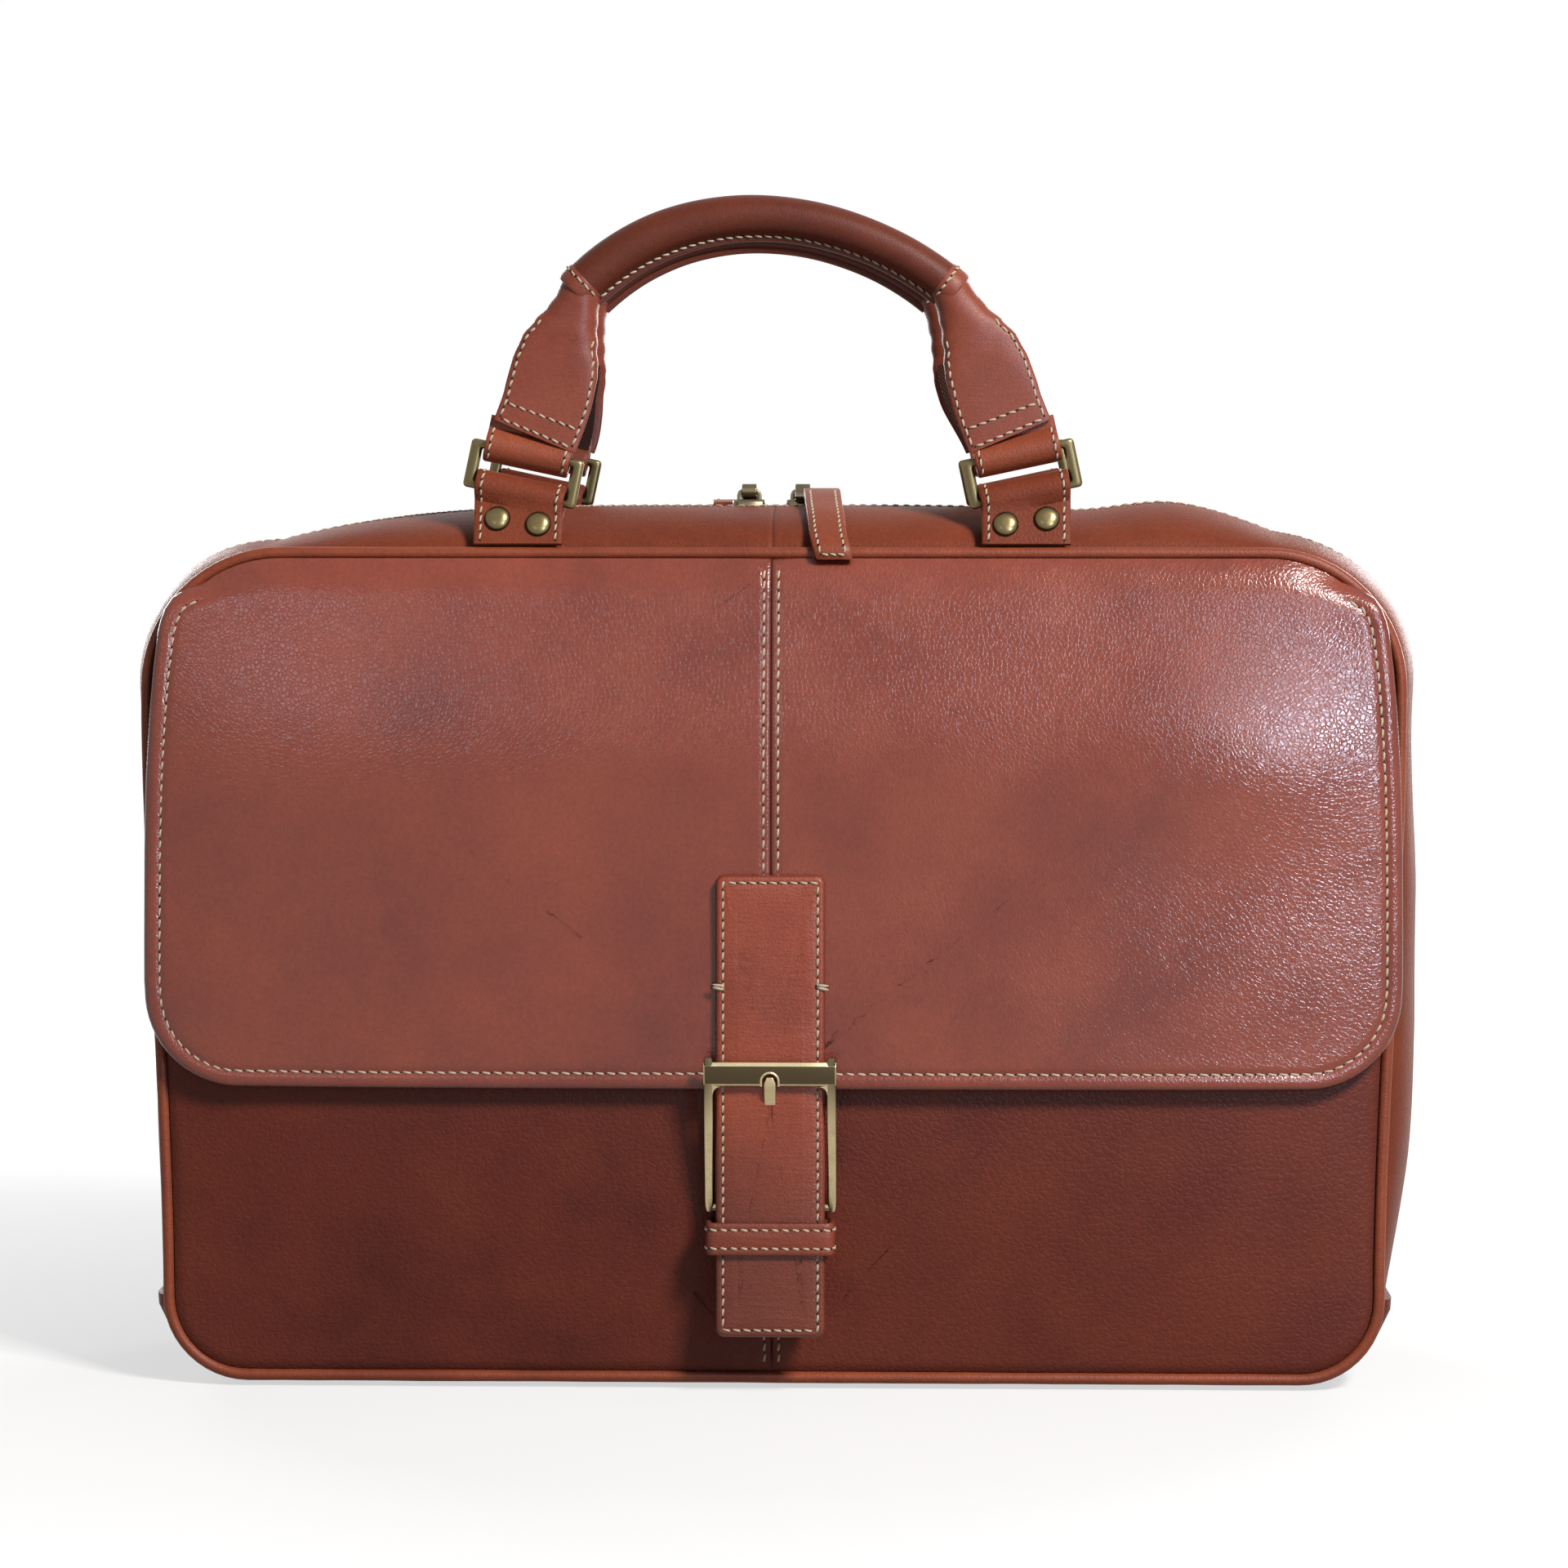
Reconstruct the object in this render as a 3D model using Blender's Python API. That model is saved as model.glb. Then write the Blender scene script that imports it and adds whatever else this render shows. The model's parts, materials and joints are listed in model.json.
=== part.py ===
"""A leather briefcase: zip-round shell, front pocket under a buckled flap, and two top handles on rings.

Metres, +Z up. The front looks along -Y, +X is to the right of someone facing the front, and the origin
is on the floor under the middle of the bag. Every piece is its own object, and the pieces that move have
their origin on the axis that they turn about.
"""

import math
from collections import namedtuple

import bmesh
import bpy
from mathutils import Vector

MM = 0.001

# Shell: two upright panels, each framed by piping, with a crowned strip of leather between them.
PANEL_TOP = 274 * MM
PANEL_HALF_WIDTH = 205 * MM
PANEL_FOOT_HALF_WIDTH = 198.5 * MM
TOP_CORNER = 38 * MM
FOOT_CORNER = 26 * MM
DEPTH = 100 * MM
LEATHER = 2 * MM
PIPING_RADIUS = 1.8 * MM
CROWN_TOP = 15 * MM
CROWN_SIDE = 10 * MM
CROWN_CORNER = 4.5 * MM
CROWN_FOOT = 3.5 * MM
CORNER_PULL = 5 * MM
FOOT_ROUNDING = 8 * MM
SEAM_HEM = 1.6 * MM
BACK_BULGE = 4 * MM
CLEARANCE = 0.3 * MM

# Zip along the crown.
ZIP_GAP = 12 * MM
TAPE_WIDTH = 14 * MM
TAPE = 1 * MM
CHAIN_WIDTH = 5.2 * MM
CHAIN_HEIGHT = 1.7 * MM
SLIDER_X = 9 * MM
SLIDER_LENGTH = 11 * MM
SLIDER_PLATE = 2 * MM
SLIDER_BEVEL = 1.3 * MM
BRIDGE_SPAN = 8.4 * MM
BRIDGE_EYE = 2 * MM
BRIDGE_BAR = 1.6 * MM
BRIDGE_WIDTH = 2.2 * MM
LINK = 0.8 * MM
LINK_WIDTH = 5 * MM
LINK_TAIL = 7.2 * MM
PULL_WIDTH = 13 * MM
PULL_THICKNESS = 3 * MM
PULL_DROP = 1.6 * MM
PULL_SHIFT = 4 * MM
PULL_LEAN = 9 * MM

# Front pocket, inner board and lining.
POCKET_MOUTH = 222 * MM
POCKET_BULGE = 7.5 * MM
POCKET_RISE = 95 * MM
POCKET_DRAW_IN = 0.35
BOARD = 2 * MM
LINING = 0.8 * MM
LINING_TOP_GAP = 12 * MM

# Flap, hung from a sewn root just under the top piping.
FLAP_HINGE_DROP = 12 * MM
FLAP_HINGE_Y = -54.5 * MM
FLAP_THICKNESS = 3 * MM
FLAP_FOOT = 100 * MM
FLAP_HALF_WIDTH = 205 * MM
FLAP_TOP_HALF_WIDTH = 199 * MM
FLAP_FOOT_CORNER = 36 * MM
FLAP_TOP_CORNER = 24 * MM
FLAP_STAND_OFF = 9.5 * MM
FLAP_SIDE_HUG = 0.75
ROOT_HALF_WIDTH = 164 * MM
ROOT_SET_BACK = 1.1 * MM

# Strap, buckle, keeper and the hidden magnetic snap.
STRAP_TOP = 170 * MM
STRAP_FOOT = 20 * MM
STRAP_HALF_WIDTH = 17.7 * MM
STRAP_THICKNESS = 3 * MM
STRAP_CORNER = 3 * MM
BUCKLE_TOP = 110 * MM
BUCKLE_HEIGHT = 50 * MM
BUCKLE_TOP_BAR = 8 * MM
BUCKLE_SIDE_BAR = 2.9 * MM
BUCKLE_PLATE = 2.4 * MM
BUCKLE_PLAY = 0.8 * MM
HINGE_BAR_RADIUS = 1.4 * MM
NOTCH_HALF_WIDTH = 2.6 * MM
NOTCH_HEIGHT = 4.4 * MM
PRONG_HALF_WIDTH = 2 * MM
PRONG_THICKNESS = 1.8 * MM
CHAPE = 1.2 * MM
CHAPE_HALF_WIDTH = 15 * MM
CHAPE_FOOT = 24.5 * MM
KEEPER_FOOT = 47 * MM
KEEPER_HEIGHT = 10.6 * MM
KEEPER = 1.8 * MM
KEEPER_PLAY = 1.4 * MM
SNAP_RADIUS = 7 * MM
SNAP_HEIGHT = 36 * MM

# Handles: tabs, rivets, rings, loops, legs and grips.
TAB_X = 83 * MM
TAB_SET_BACK = 6.8 * MM
TAB_LEAN = math.radians(22)
TAB_WIDTH = 29 * MM
TAB_RISE = 19.2 * MM
STRAP_LOOP = 2 * MM
LOOP_BORE = 3.4 * MM
LOOP_NECK = 5.6 * MM
LOOP_SLIT = 0.3 * MM
TAB_FRONT_TAIL = 18.2 * MM
TAB_BACK_TAIL = 12.4 * MM
RIVET_RADIUS = 4.2 * MM
RIVET_DOME = 2 * MM
RIVET_SHANK = 1.3 * MM
RIVET_CAP = 1.9 * MM
RIVET_DROP = 10.5 * MM
RIVET_SPACING = 13.4 * MM
RING_TILT = math.radians(12)
RING_WIDTH = 38 * MM
RING_HEIGHT = 16 * MM
RING_SIDE_BAR = 3.5 * MM
RING_CROSS_BAR = 2.4 * MM
RING_DEPTH = 3.6 * MM
HANDLE_TAIL = 16 * MM
LEG_START = 6 * MM
LEG_HALF_WIDTH = 14.3 * MM
LEG_LEATHER = 2.2 * MM
WEBBING_HALF_WIDTH = 12.5 * MM
WEBBING = 1.4 * MM
WEBBING_END = 30 * MM
GRIP_TOP = 391 * MM
GRIP_RADIUS = 6.7 * MM
GRIP_HALF_SPAN = 60 * MM
GRIP_ARCH = 22.8 * MM
GRIP_FIN = 3.2 * MM
GRIP_FIN_HALF_WIDTH = 1.3 * MM
LEG_LEAN = math.radians(14)

# Facets of the round stretches.
EDGE_STEPS = 5
ARC_STEPS = 5
SIDE_STEPS = 5
TUBE_SIDES = 8

LEFT, RIGHT = -1, 1
FRONT, BACK = -1, 1
SIDE_NAMES = {FRONT: "front", BACK: "back"}
HAND_NAMES = {LEFT: "left", RIGHT: "right"}

# Colour, roughness and metallic value of each finish.
FINISHES = {
    "tan_leather": ((0.30, 0.085, 0.045), 0.45, 0.0),
    "dark_leather": ((0.20, 0.060, 0.035), 0.50, 0.0),
    "piping_leather": ((0.38, 0.115, 0.040), 0.45, 0.0),
    "antique_brass": ((0.36, 0.30, 0.17), 0.35, 1.0),
    "webbing": ((0.045, 0.030, 0.030), 0.85, 0.0),
    "zip_tape": ((0.12, 0.055, 0.035), 0.85, 0.0),
    "board": ((0.22, 0.18, 0.13), 0.90, 0.0),
    "lining": ((0.25, 0.19, 0.13), 0.85, 0.0),
}

Outline = namedtuple("Outline", "foot foot_half foot_corner top top_half top_corner")

# Places that follow from the sizes above.
FRONT_Y = -DEPTH / 2
PANEL_INSET = PIPING_RADIUS + CLEARANCE
GUSSET_Y = DEPTH / 2 - PANEL_INSET
GUSSET_SPAN = GUSSET_Y - ZIP_GAP / 2
WALL_Y = DEPTH / 2 - LEATHER / 2
CREST_Z = PANEL_TOP + CROWN_TOP
PANEL = Outline(CROWN_FOOT, PANEL_FOOT_HALF_WIDTH, FOOT_CORNER, PANEL_TOP, PANEL_HALF_WIDTH, TOP_CORNER)
SEAM_INDEX = EDGE_STEPS + ARC_STEPS
FLAP_HINGE_Z = PANEL_TOP - FLAP_HINGE_DROP
HANDLE_Y = DEPTH / 2 - TAB_SET_BACK
RING_FOOT_Z = PANEL_TOP + TAB_RISE
RING_REACH = RING_HEIGHT - RING_CROSS_BAR
LOOP_MID = LOOP_BORE + STRAP_LOOP / 2
TAB_HALF_STACK = STRAP_LOOP + LOOP_SLIT / 2
HINGE_BAR_Z = BUCKLE_TOP - BUCKLE_HEIGHT + HINGE_BAR_RADIUS


def clamp(value):
    return min(max(value, 0.0), 1.0)


def smoothstep(value):
    t = clamp(value)
    return t * t * (3 - 2 * t)


def arc(centre, radius, start, end, steps):
    """Points on an arc, with angles in degrees."""
    angles = [math.radians(start + (end - start) * k / steps) for k in range(steps + 1)]
    return [(centre[0] + radius * math.cos(a), centre[1] + radius * math.sin(a)) for a in angles]


def half_outline(shape, inset=0.0):
    """Right half of a panel as (x, z), from the middle of its foot to the middle of its top."""
    foot = (shape.foot_half - shape.foot_corner, shape.foot + shape.foot_corner)
    head = (shape.top_half - shape.top_corner, shape.top - shape.top_corner)
    points = [(foot[0] * k / EDGE_STEPS, shape.foot + inset) for k in range(EDGE_STEPS)]
    points += arc(foot, shape.foot_corner - inset, -90, 0, ARC_STEPS)
    low = points[-1]
    high = (shape.top_half - inset, head[1])
    for k in range(1, SIDE_STEPS):
        t = k / SIDE_STEPS
        points.append((low[0] + (high[0] - low[0]) * smoothstep(t), low[1] + (high[1] - low[1]) * t))
    points += arc(head, shape.top_corner - inset, 0, 90, ARC_STEPS)
    points += [(head[0] * (1 - k / EDGE_STEPS), shape.top - inset) for k in range(1, EDGE_STEPS + 1)]
    return points


def cut_at(half, height):
    """The part of a half outline below a height, closed by a straight edge to the middle."""
    kept = []
    for low, high in zip(half, half[1:]):
        kept.append(low)
        if high[1] >= height:
            t = (height - low[1]) / (high[1] - low[1])
            edge = low[0] + (high[0] - low[0]) * t
            break
    return kept + [(edge * (1 - k / EDGE_STEPS), height) for k in range(EDGE_STEPS + 1)]


def closed(half):
    """A whole outline from its right half."""
    return half + [(-x, z) for x, z in reversed(half[1:-1])]


def normals(points, loop=False):
    """Outward normals of an outline that runs anticlockwise, seen from the front."""
    found = []
    count = len(points)
    for k in range(count):
        before = points[k - 1] if loop or k else points[0]
        after = points[(k + 1) % count] if loop or k < count - 1 else points[k]
        along = Vector((after[0] - before[0], after[1] - before[1])).normalized()
        found.append((along.y, -along.x))
    return found


def loft(rings, loop=False):
    """A closed solid through rings that have the same number of points."""
    mesh = bmesh.new()
    rows = [[mesh.verts.new(point) for point in ring] for ring in rings]
    pairs = list(zip(rows, rows[1:]))
    if loop:
        pairs.append((rows[-1], rows[0]))
    else:
        mesh.faces.new(rows[0])
        mesh.faces.new(rows[-1])
    for low, high in pairs:
        for k in range(len(low)):
            n = (k + 1) % len(low)
            mesh.faces.new((low[k], low[n], high[n], high[k]))
    bmesh.ops.recalc_face_normals(mesh, faces=mesh.faces)
    return mesh


def axis(name, place):
    """An empty on the axis that a group of pieces moves about."""
    empty = bpy.data.objects.new(name, None)
    empty.location = place
    bpy.context.collection.objects.link(empty)
    return empty


def material(name, finish):
    colour, roughness, metallic = FINISHES[finish]
    made = bpy.data.materials.new(name)
    made.use_nodes = True
    shader = made.node_tree.nodes["Principled BSDF"]
    shader.inputs["Base Color"].default_value = (*colour, 1.0)
    shader.inputs["Roughness"].default_value = roughness
    shader.inputs["Metallic"].default_value = metallic
    return made


def add(name, mesh, finish, on=None):
    """A named object from a mesh in world places, set on the axis that it moves about."""
    place = on.location if on else Vector((0, 0, 0))
    bmesh.ops.translate(mesh, verts=mesh.verts, vec=-place)
    data = bpy.data.meshes.new(name)
    mesh.to_mesh(data)
    mesh.free()
    data.shade_smooth()
    data.set_sharp_from_angle(angle=math.radians(40))
    data.materials.append(material(name, finish))
    piece = bpy.data.objects.new(name, data)
    bpy.context.collection.objects.link(piece)
    piece.parent = on
    return piece


def combine(piece, mesh, operation):
    """Cuts a mesh out of a piece, or joins it on, with a Boolean modifier and a hidden tool object."""
    data = bpy.data.meshes.new(f"{piece.name}_tool")
    mesh.to_mesh(data)
    mesh.free()
    tool = bpy.data.objects.new(data.name, data)
    tool.hide_render = True
    tool.display_type = "WIRE"
    bpy.context.collection.objects.link(tool)
    change = piece.modifiers.new(operation.lower(), "BOOLEAN")
    change.operation = operation
    change.solver = "EXACT"
    change.object = tool


def block(low, high):
    """A box between two corners."""
    x0, y0, z0 = low
    x1, y1, z1 = high
    ring = [(x0, y0), (x1, y0), (x1, y1), (x0, y1)]
    return loft([[(x, y, z) for x, y in ring] for z in (z0, z1)])


def crown_path():
    """The line of the zip gusset, from the right side seam over the top to the left, with its crown."""
    half = half_outline(PANEL)[SEAM_INDEX:]
    half[0] = (half[0][0], half[0][1] + CLEARANCE)
    lengths = [math.dist(a, b) for a, b in zip(half, half[1:])]
    from_top = [sum(lengths[k:]) for k in range(len(half))]
    corner = half[-EDGE_STEPS - 1][0] + CORNER_PULL
    crowns = [crown_at(distance, corner, from_top[0]) for distance in from_top]
    path = half + [(-x, z) for x, z in reversed(half[:-1])]
    return list(zip(path, normals(path), crowns + crowns[-2::-1]))


def crown_at(distance, corner, end):
    """How far the gusset swells past the piping, at a distance along it from the middle of the top."""
    if distance < corner:
        return CROWN_CORNER + (CROWN_TOP - CROWN_CORNER) * (1 - (distance / corner) ** 4)
    t = (distance - corner) / (end - corner)
    base = CROWN_CORNER + (CROWN_FOOT - CROWN_CORNER) * t
    return base + (CROWN_SIDE - CROWN_CORNER) * (1 - (2 * t - 1) ** 4)


def gusset_point(turn, crown):
    """Depth and height on the gusset's outer face, and its normal, by the turn from piping to zip."""
    depth = GUSSET_Y - GUSSET_SPAN * (1 - math.cos(turn))
    normal = Vector((math.cos(turn) / GUSSET_SPAN, math.sin(turn) / crown)).normalized()
    return (depth, crown * math.sin(turn)), normal


def gusset_height(depth, crown):
    """Height of the gusset's outer face at a depth from the middle plane."""
    if depth <= ZIP_GAP / 2:
        return crown
    turn = math.acos(clamp(1 - (GUSSET_Y - depth) / GUSSET_SPAN))
    return crown * math.sin(turn)


def on_shell(station, side, depth, height):
    """A place at a depth and height on the crowned strip."""
    (x, z), (nx, nz), _ = station
    return (x + nx * height, side * depth, z + nz * height)


def make_shell():
    for side in (FRONT, BACK):
        make_piping(side)
        make_gusset(side)
        make_zip_tape(side)
    make_bottom_panel()
    make_zip_chain()
    wall = closed(half_outline(PANEL, PANEL_INSET))
    faces = (-WALL_Y, -WALL_Y + LEATHER)
    add("front_wall", loft([[(x, y, z) for x, z in wall] for y in faces]), "tan_leather")
    domed("back_panel", [wall], back_panel_face, LEATHER, BACK, "tan_leather")
    make_pocket()
    make_inside()


def make_piping(side):
    path = closed(half_outline(PANEL))
    angles = [2 * math.pi * k / TUBE_SIDES for k in range(TUBE_SIDES)]
    rings = []
    for (x, z), (nx, nz) in zip(path, normals(path, loop=True)):
        ring = []
        for a in angles:
            out = PIPING_RADIUS * math.cos(a)
            ring.append((x + out * nx, side * DEPTH / 2 + PIPING_RADIUS * math.sin(a), z + out * nz))
        rings.append(ring)
    add(f"{SIDE_NAMES[side]}_piping", loft(rings, loop=True), "piping_leather")


def make_gusset(side):
    turns = [math.pi / 2 * k / ARC_STEPS for k in range(ARC_STEPS + 1)]
    rings = []
    for station in crown_path():
        outer = []
        inner = []
        for turn in turns:
            (depth, height), normal = gusset_point(turn, station[2])
            outer.append(on_shell(station, side, depth, height))
            inner.append(on_shell(station, side, depth - LEATHER * normal.x, height - LEATHER * normal.y))
        rings.append(outer + inner[::-1])
    add(f"{SIDE_NAMES[side]}_gusset", loft(rings), "tan_leather")


def make_zip_tape(side):
    depths = (TAPE_WIDTH, (TAPE_WIDTH + ZIP_GAP / 2) / 2, ZIP_GAP / 2, CLEARANCE)
    drop = LEATHER + CLEARANCE
    rings = []
    for station in crown_path():
        tops = [gusset_height(depth, station[2]) - drop for depth in depths]
        upper = [on_shell(station, side, depth, top) for depth, top in zip(depths, tops)]
        lower = [on_shell(station, side, depth, top - TAPE) for depth, top in zip(depths, tops)]
        rings.append(upper + lower[::-1])
    add(f"{SIDE_NAMES[side]}_zip_tape", loft(rings), "zip_tape")


def make_zip_chain():
    half = CHAIN_WIDTH / 2
    rings = []
    for station in crown_path():
        foot = station[2] - LEATHER
        corners = [(-half, foot), (half, foot), (half, foot + CHAIN_HEIGHT), (-half, foot + CHAIN_HEIGHT)]
        rings.append([on_shell(station, BACK, depth, height) for depth, height in corners])
    add("zip_chain", loft(rings), "antique_brass")


def make_bottom_panel():
    """The strip under the bag, with a thick hem where it meets the zip gusset at each side."""
    half = half_outline(PANEL)[: SEAM_INDEX + 1]
    hem = (half[-1][0], half[-1][1] - 2 * FOOT_ROUNDING / 3)
    path = [(-x, z) for x, z in reversed(half)] + half[1:]
    edge = GUSSET_Y
    shoulder = edge - FOOT_ROUNDING / 3
    flat = edge - FOOT_ROUNDING
    rings = []
    for (x, z), normal in zip(path, normals(path)):
        swell = SEAM_HEM if z > hem[1] else 0.0
        station = ((x, z), normal, CROWN_FOOT)
        outer = [(edge, 0), (shoulder, 0.65 * CROWN_FOOT + swell), (flat, CROWN_FOOT + swell)]
        outer += [(-depth, height) for depth, height in reversed(outer)]
        inner = [(edge - LEATHER, 0), (shoulder - LEATHER / 4, 0.65 * CROWN_FOOT - LEATHER)]
        inner += [(flat, CROWN_FOOT - LEATHER)]
        inner += [(-depth, height) for depth, height in reversed(inner)]
        rings.append([on_shell(station, BACK, depth, height) for depth, height in outer + inner[::-1]])
    add("bottom_panel", loft(rings), "dark_leather")


def domed(name, outlines, inner_face, thickness, side, finish, on=None, edge=1.0):
    """A leather panel that follows inner_face(x, z), with its rim rounded over the outlines given."""
    rim = outlines[-1]
    middle = (0.0, (min(z for _, z in rim) + max(z for _, z in rim)) / 2)
    steps = (0.06, 0.36, 0.64, 0.86)
    inside = [[(x * s, middle[1] + (z - middle[1]) * s) for x, z in rim] for s in steps]
    rows = [(row, 1.0) for row in inside + [rim]]
    rows += [(row, edge) for row in outlines[-2::-1]]

    def ring(row, share, outer):
        lift = thickness * (0.5 + (0.5 if outer else -0.5) * share)
        return [(x, inner_face(x, z) + side * lift, z) for x, z in row]

    rings = [ring(row, share, True) for row, share in rows]
    rings += [ring(row, share, False) for row, share in reversed(rows)]
    return add(name, loft(rings), finish, on)


def back_panel_face(x, z):
    rise = 2 * (z - CROWN_FOOT) / (PANEL_TOP - CROWN_FOOT) - 1
    across = max(1 - (x / PANEL_HALF_WIDTH) ** 4, 0.0)
    return WALL_Y - LEATHER + BACK_BULGE * across * max(1 - rise ** 4, 0.0)


def pocket_face(x, z):
    """Inner face of the pocket: sewn flat at the sides and foot, standing open at the mouth."""
    rise = math.sin(math.pi / 2 * clamp((z - CROWN_FOOT - PANEL_INSET) / POCKET_RISE))
    draw = 1 - POCKET_DRAW_IN * smoothstep((z - CROWN_FOOT - POCKET_RISE) / (POCKET_MOUTH - POCKET_RISE))
    across = max(1 - (x / (PANEL_HALF_WIDTH - PANEL_INSET)) ** 4, 0.0)
    return -WALL_Y - CLEARANCE - POCKET_BULGE * rise * draw * across


def make_pocket():
    outline = closed(cut_at(half_outline(PANEL, PANEL_INSET), POCKET_MOUTH))
    domed("front_pocket", [outline], pocket_face, LEATHER, FRONT, "dark_leather")


def make_inside():
    floor = LEATHER + CLEARANCE
    half_x = PANEL_FOOT_HALF_WIDTH - FOOT_CORNER
    half_y = WALL_Y - LEATHER - CLEARANCE
    board_y = GUSSET_Y - FOOT_ROUNDING
    add("base_board", block((-half_x, -board_y, floor), (half_x, board_y, floor + BOARD)), "board")
    foot = floor + BOARD + CLEARANCE
    top = PANEL_TOP - LINING_TOP_GAP
    outer = [(-half_y, top), (-half_y, foot), (half_y, foot), (half_y, top)]
    inner = [(half_y - LINING, top), (half_y - LINING, foot + LINING)]
    inner += [(-depth, height) for depth, height in reversed(inner)]
    rings = [[(x, depth, height) for depth, height in outer + inner] for x in (-half_x, half_x)]
    add("lining", loft(rings), "lining")


def flap_face(x, z):
    """Inner face of the closed flap: it leaves its root and stands off the pocket towards its foot."""
    drop = clamp((FLAP_HINGE_Z - z) / (FLAP_HINGE_Z - FLAP_FOOT))
    swell = FLAP_STAND_OFF * (1 - (1 - drop) ** 2.2)
    hug = 1 - FLAP_SIDE_HUG * abs(x / FLAP_HALF_WIDTH) ** 4
    return FLAP_HINGE_Y + FLAP_THICKNESS / 2 - swell * hug


def strap_back(z):
    """Rear face of the strap: on the flap down to its foot, then straight on below it."""
    return flap_face(0.0, max(z, FLAP_FOOT)) - FLAP_THICKNESS - CLEARANCE


def strap_front(z):
    return strap_back(z) - STRAP_THICKNESS


def make_flap():
    hinge = axis("flap_hinge", (0, FLAP_HINGE_Y, FLAP_HINGE_Z))
    top = FLAP_HINGE_Z + FLAP_THICKNESS / 2
    shape = Outline(FLAP_FOOT, FLAP_HALF_WIDTH, FLAP_FOOT_CORNER, top, FLAP_TOP_HALF_WIDTH, FLAP_TOP_CORNER)
    rims = [closed(half_outline(shape, inset)) for inset in (0.0, FLAP_THICKNESS / 2)]
    domed("flap", rims, flap_face, FLAP_THICKNESS, FRONT, "tan_leather", hinge, edge=0.3)
    make_flap_root()
    make_strap(hinge)
    make_buckle(hinge)


def make_flap_root():
    """The sewn edge of the flap, which stays with the bag under the top piping."""
    foot = FLAP_HINGE_Z + FLAP_THICKNESS / 2 + CLEARANCE
    top = PANEL_TOP - PANEL_INSET
    face = FLAP_HINGE_Y + ROOT_SET_BACK
    lean = ROOT_SET_BACK
    ring = [(face, foot), (face + LEATHER, foot), (face + lean + LEATHER, top), (face + lean, top)]
    ends = (-ROOT_HALF_WIDTH, ROOT_HALF_WIDTH)
    add("flap_root", loft([[(x, y, z) for y, z in ring] for x in ends]), "tan_leather")


def make_strap(hinge):
    heights = [STRAP_TOP, STRAP_TOP - STRAP_CORNER]
    heights += [STRAP_TOP + (FLAP_FOOT - STRAP_TOP) * k / 4 for k in (1, 2, 3, 4)]
    heights += [STRAP_FOOT + STRAP_CORNER, STRAP_FOOT]
    rings = []
    for z in heights:
        half = STRAP_HALF_WIDTH - (STRAP_CORNER if z in (STRAP_TOP, STRAP_FOOT) else 0.0)
        back = strap_back(z)
        front = strap_front(z)
        rings.append([(-half, back, z), (half, back, z), (half, front, z), (-half, front, z)])
    strap = add("flap_strap", loft(rings), "tan_leather", hinge)
    low, high = prong_hole()
    reach = STRAP_THICKNESS
    middle = strap_back((low + high) / 2)
    hole = block((-NOTCH_HALF_WIDTH, middle - 2 * reach, low), (NOTCH_HALF_WIDTH, middle + reach, high))
    combine(strap, hole, "DIFFERENCE")


def hinge_bar_y():
    """The bar that the buckle and prong hang on, behind the strap and inside the folded chape."""
    return strap_back(HINGE_BAR_Z) + 2 * CLEARANCE + PRONG_THICKNESS * 1.5 + HINGE_BAR_RADIUS


def buckle_slope():
    """Lean of the buckle: its top bar lies over the strap and its hinge bar under it."""
    bar = BUCKLE_TOP - BUCKLE_TOP_BAR
    face = strap_front(bar) - CLEARANCE - BUCKLE_PLATE / 2
    return (face - hinge_bar_y()) / (bar - HINGE_BAR_Z)


def buckle_y(z):
    """Middle of the buckle's plate at a height."""
    return hinge_bar_y() + buckle_slope() * (z - HINGE_BAR_Z) - CLEARANCE


def make_buckle(hinge):
    make_buckle_frame(hinge)
    make_prong(hinge)
    make_chape(hinge)
    make_keeper(hinge)
    make_snap(hinge)


def make_buckle_frame(hinge):
    """A frame open at the strap, with a notch for the prong and a round hinge bar at its foot."""
    inner = STRAP_HALF_WIDTH + BUCKLE_PLAY
    outer = inner + BUCKLE_SIDE_BAR
    foot = BUCKLE_TOP - BUCKLE_HEIGHT
    bar = BUCKLE_TOP - BUCKLE_TOP_BAR
    notch = arc((0, bar + NOTCH_HEIGHT - NOTCH_HALF_WIDTH), NOTCH_HALF_WIDTH, 0, 180, ARC_STEPS)
    shape = [(-outer, foot), (-outer, BUCKLE_TOP), (outer, BUCKLE_TOP), (outer, foot), (inner, foot)]
    shape += arc((inner - BUCKLE_SIDE_BAR, bar - BUCKLE_SIDE_BAR), BUCKLE_SIDE_BAR, 0, 90, ARC_STEPS)
    shape += [(NOTCH_HALF_WIDTH, bar)] + notch + [(-NOTCH_HALF_WIDTH, bar)]
    shape += arc((-inner + BUCKLE_SIDE_BAR, bar - BUCKLE_SIDE_BAR), BUCKLE_SIDE_BAR, 90, 180, ARC_STEPS)
    shape += [(-inner, foot)]
    faces = (-BUCKLE_PLATE / 2, BUCKLE_PLATE / 2)
    frame = loft([[(x, buckle_y(z) + face, z) for x, z in shape] for face in faces])
    piece = add("buckle_frame", frame, "antique_brass", hinge)
    reach = outer - BUCKLE_SIDE_BAR / 3
    circle = arc((hinge_bar_y(), HINGE_BAR_Z), HINGE_BAR_RADIUS, 0, 360, TUBE_SIDES)[:-1]
    combine(piece, loft([[(x, y, z) for y, z in circle] for x in (-reach, reach)]), "UNION")


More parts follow.
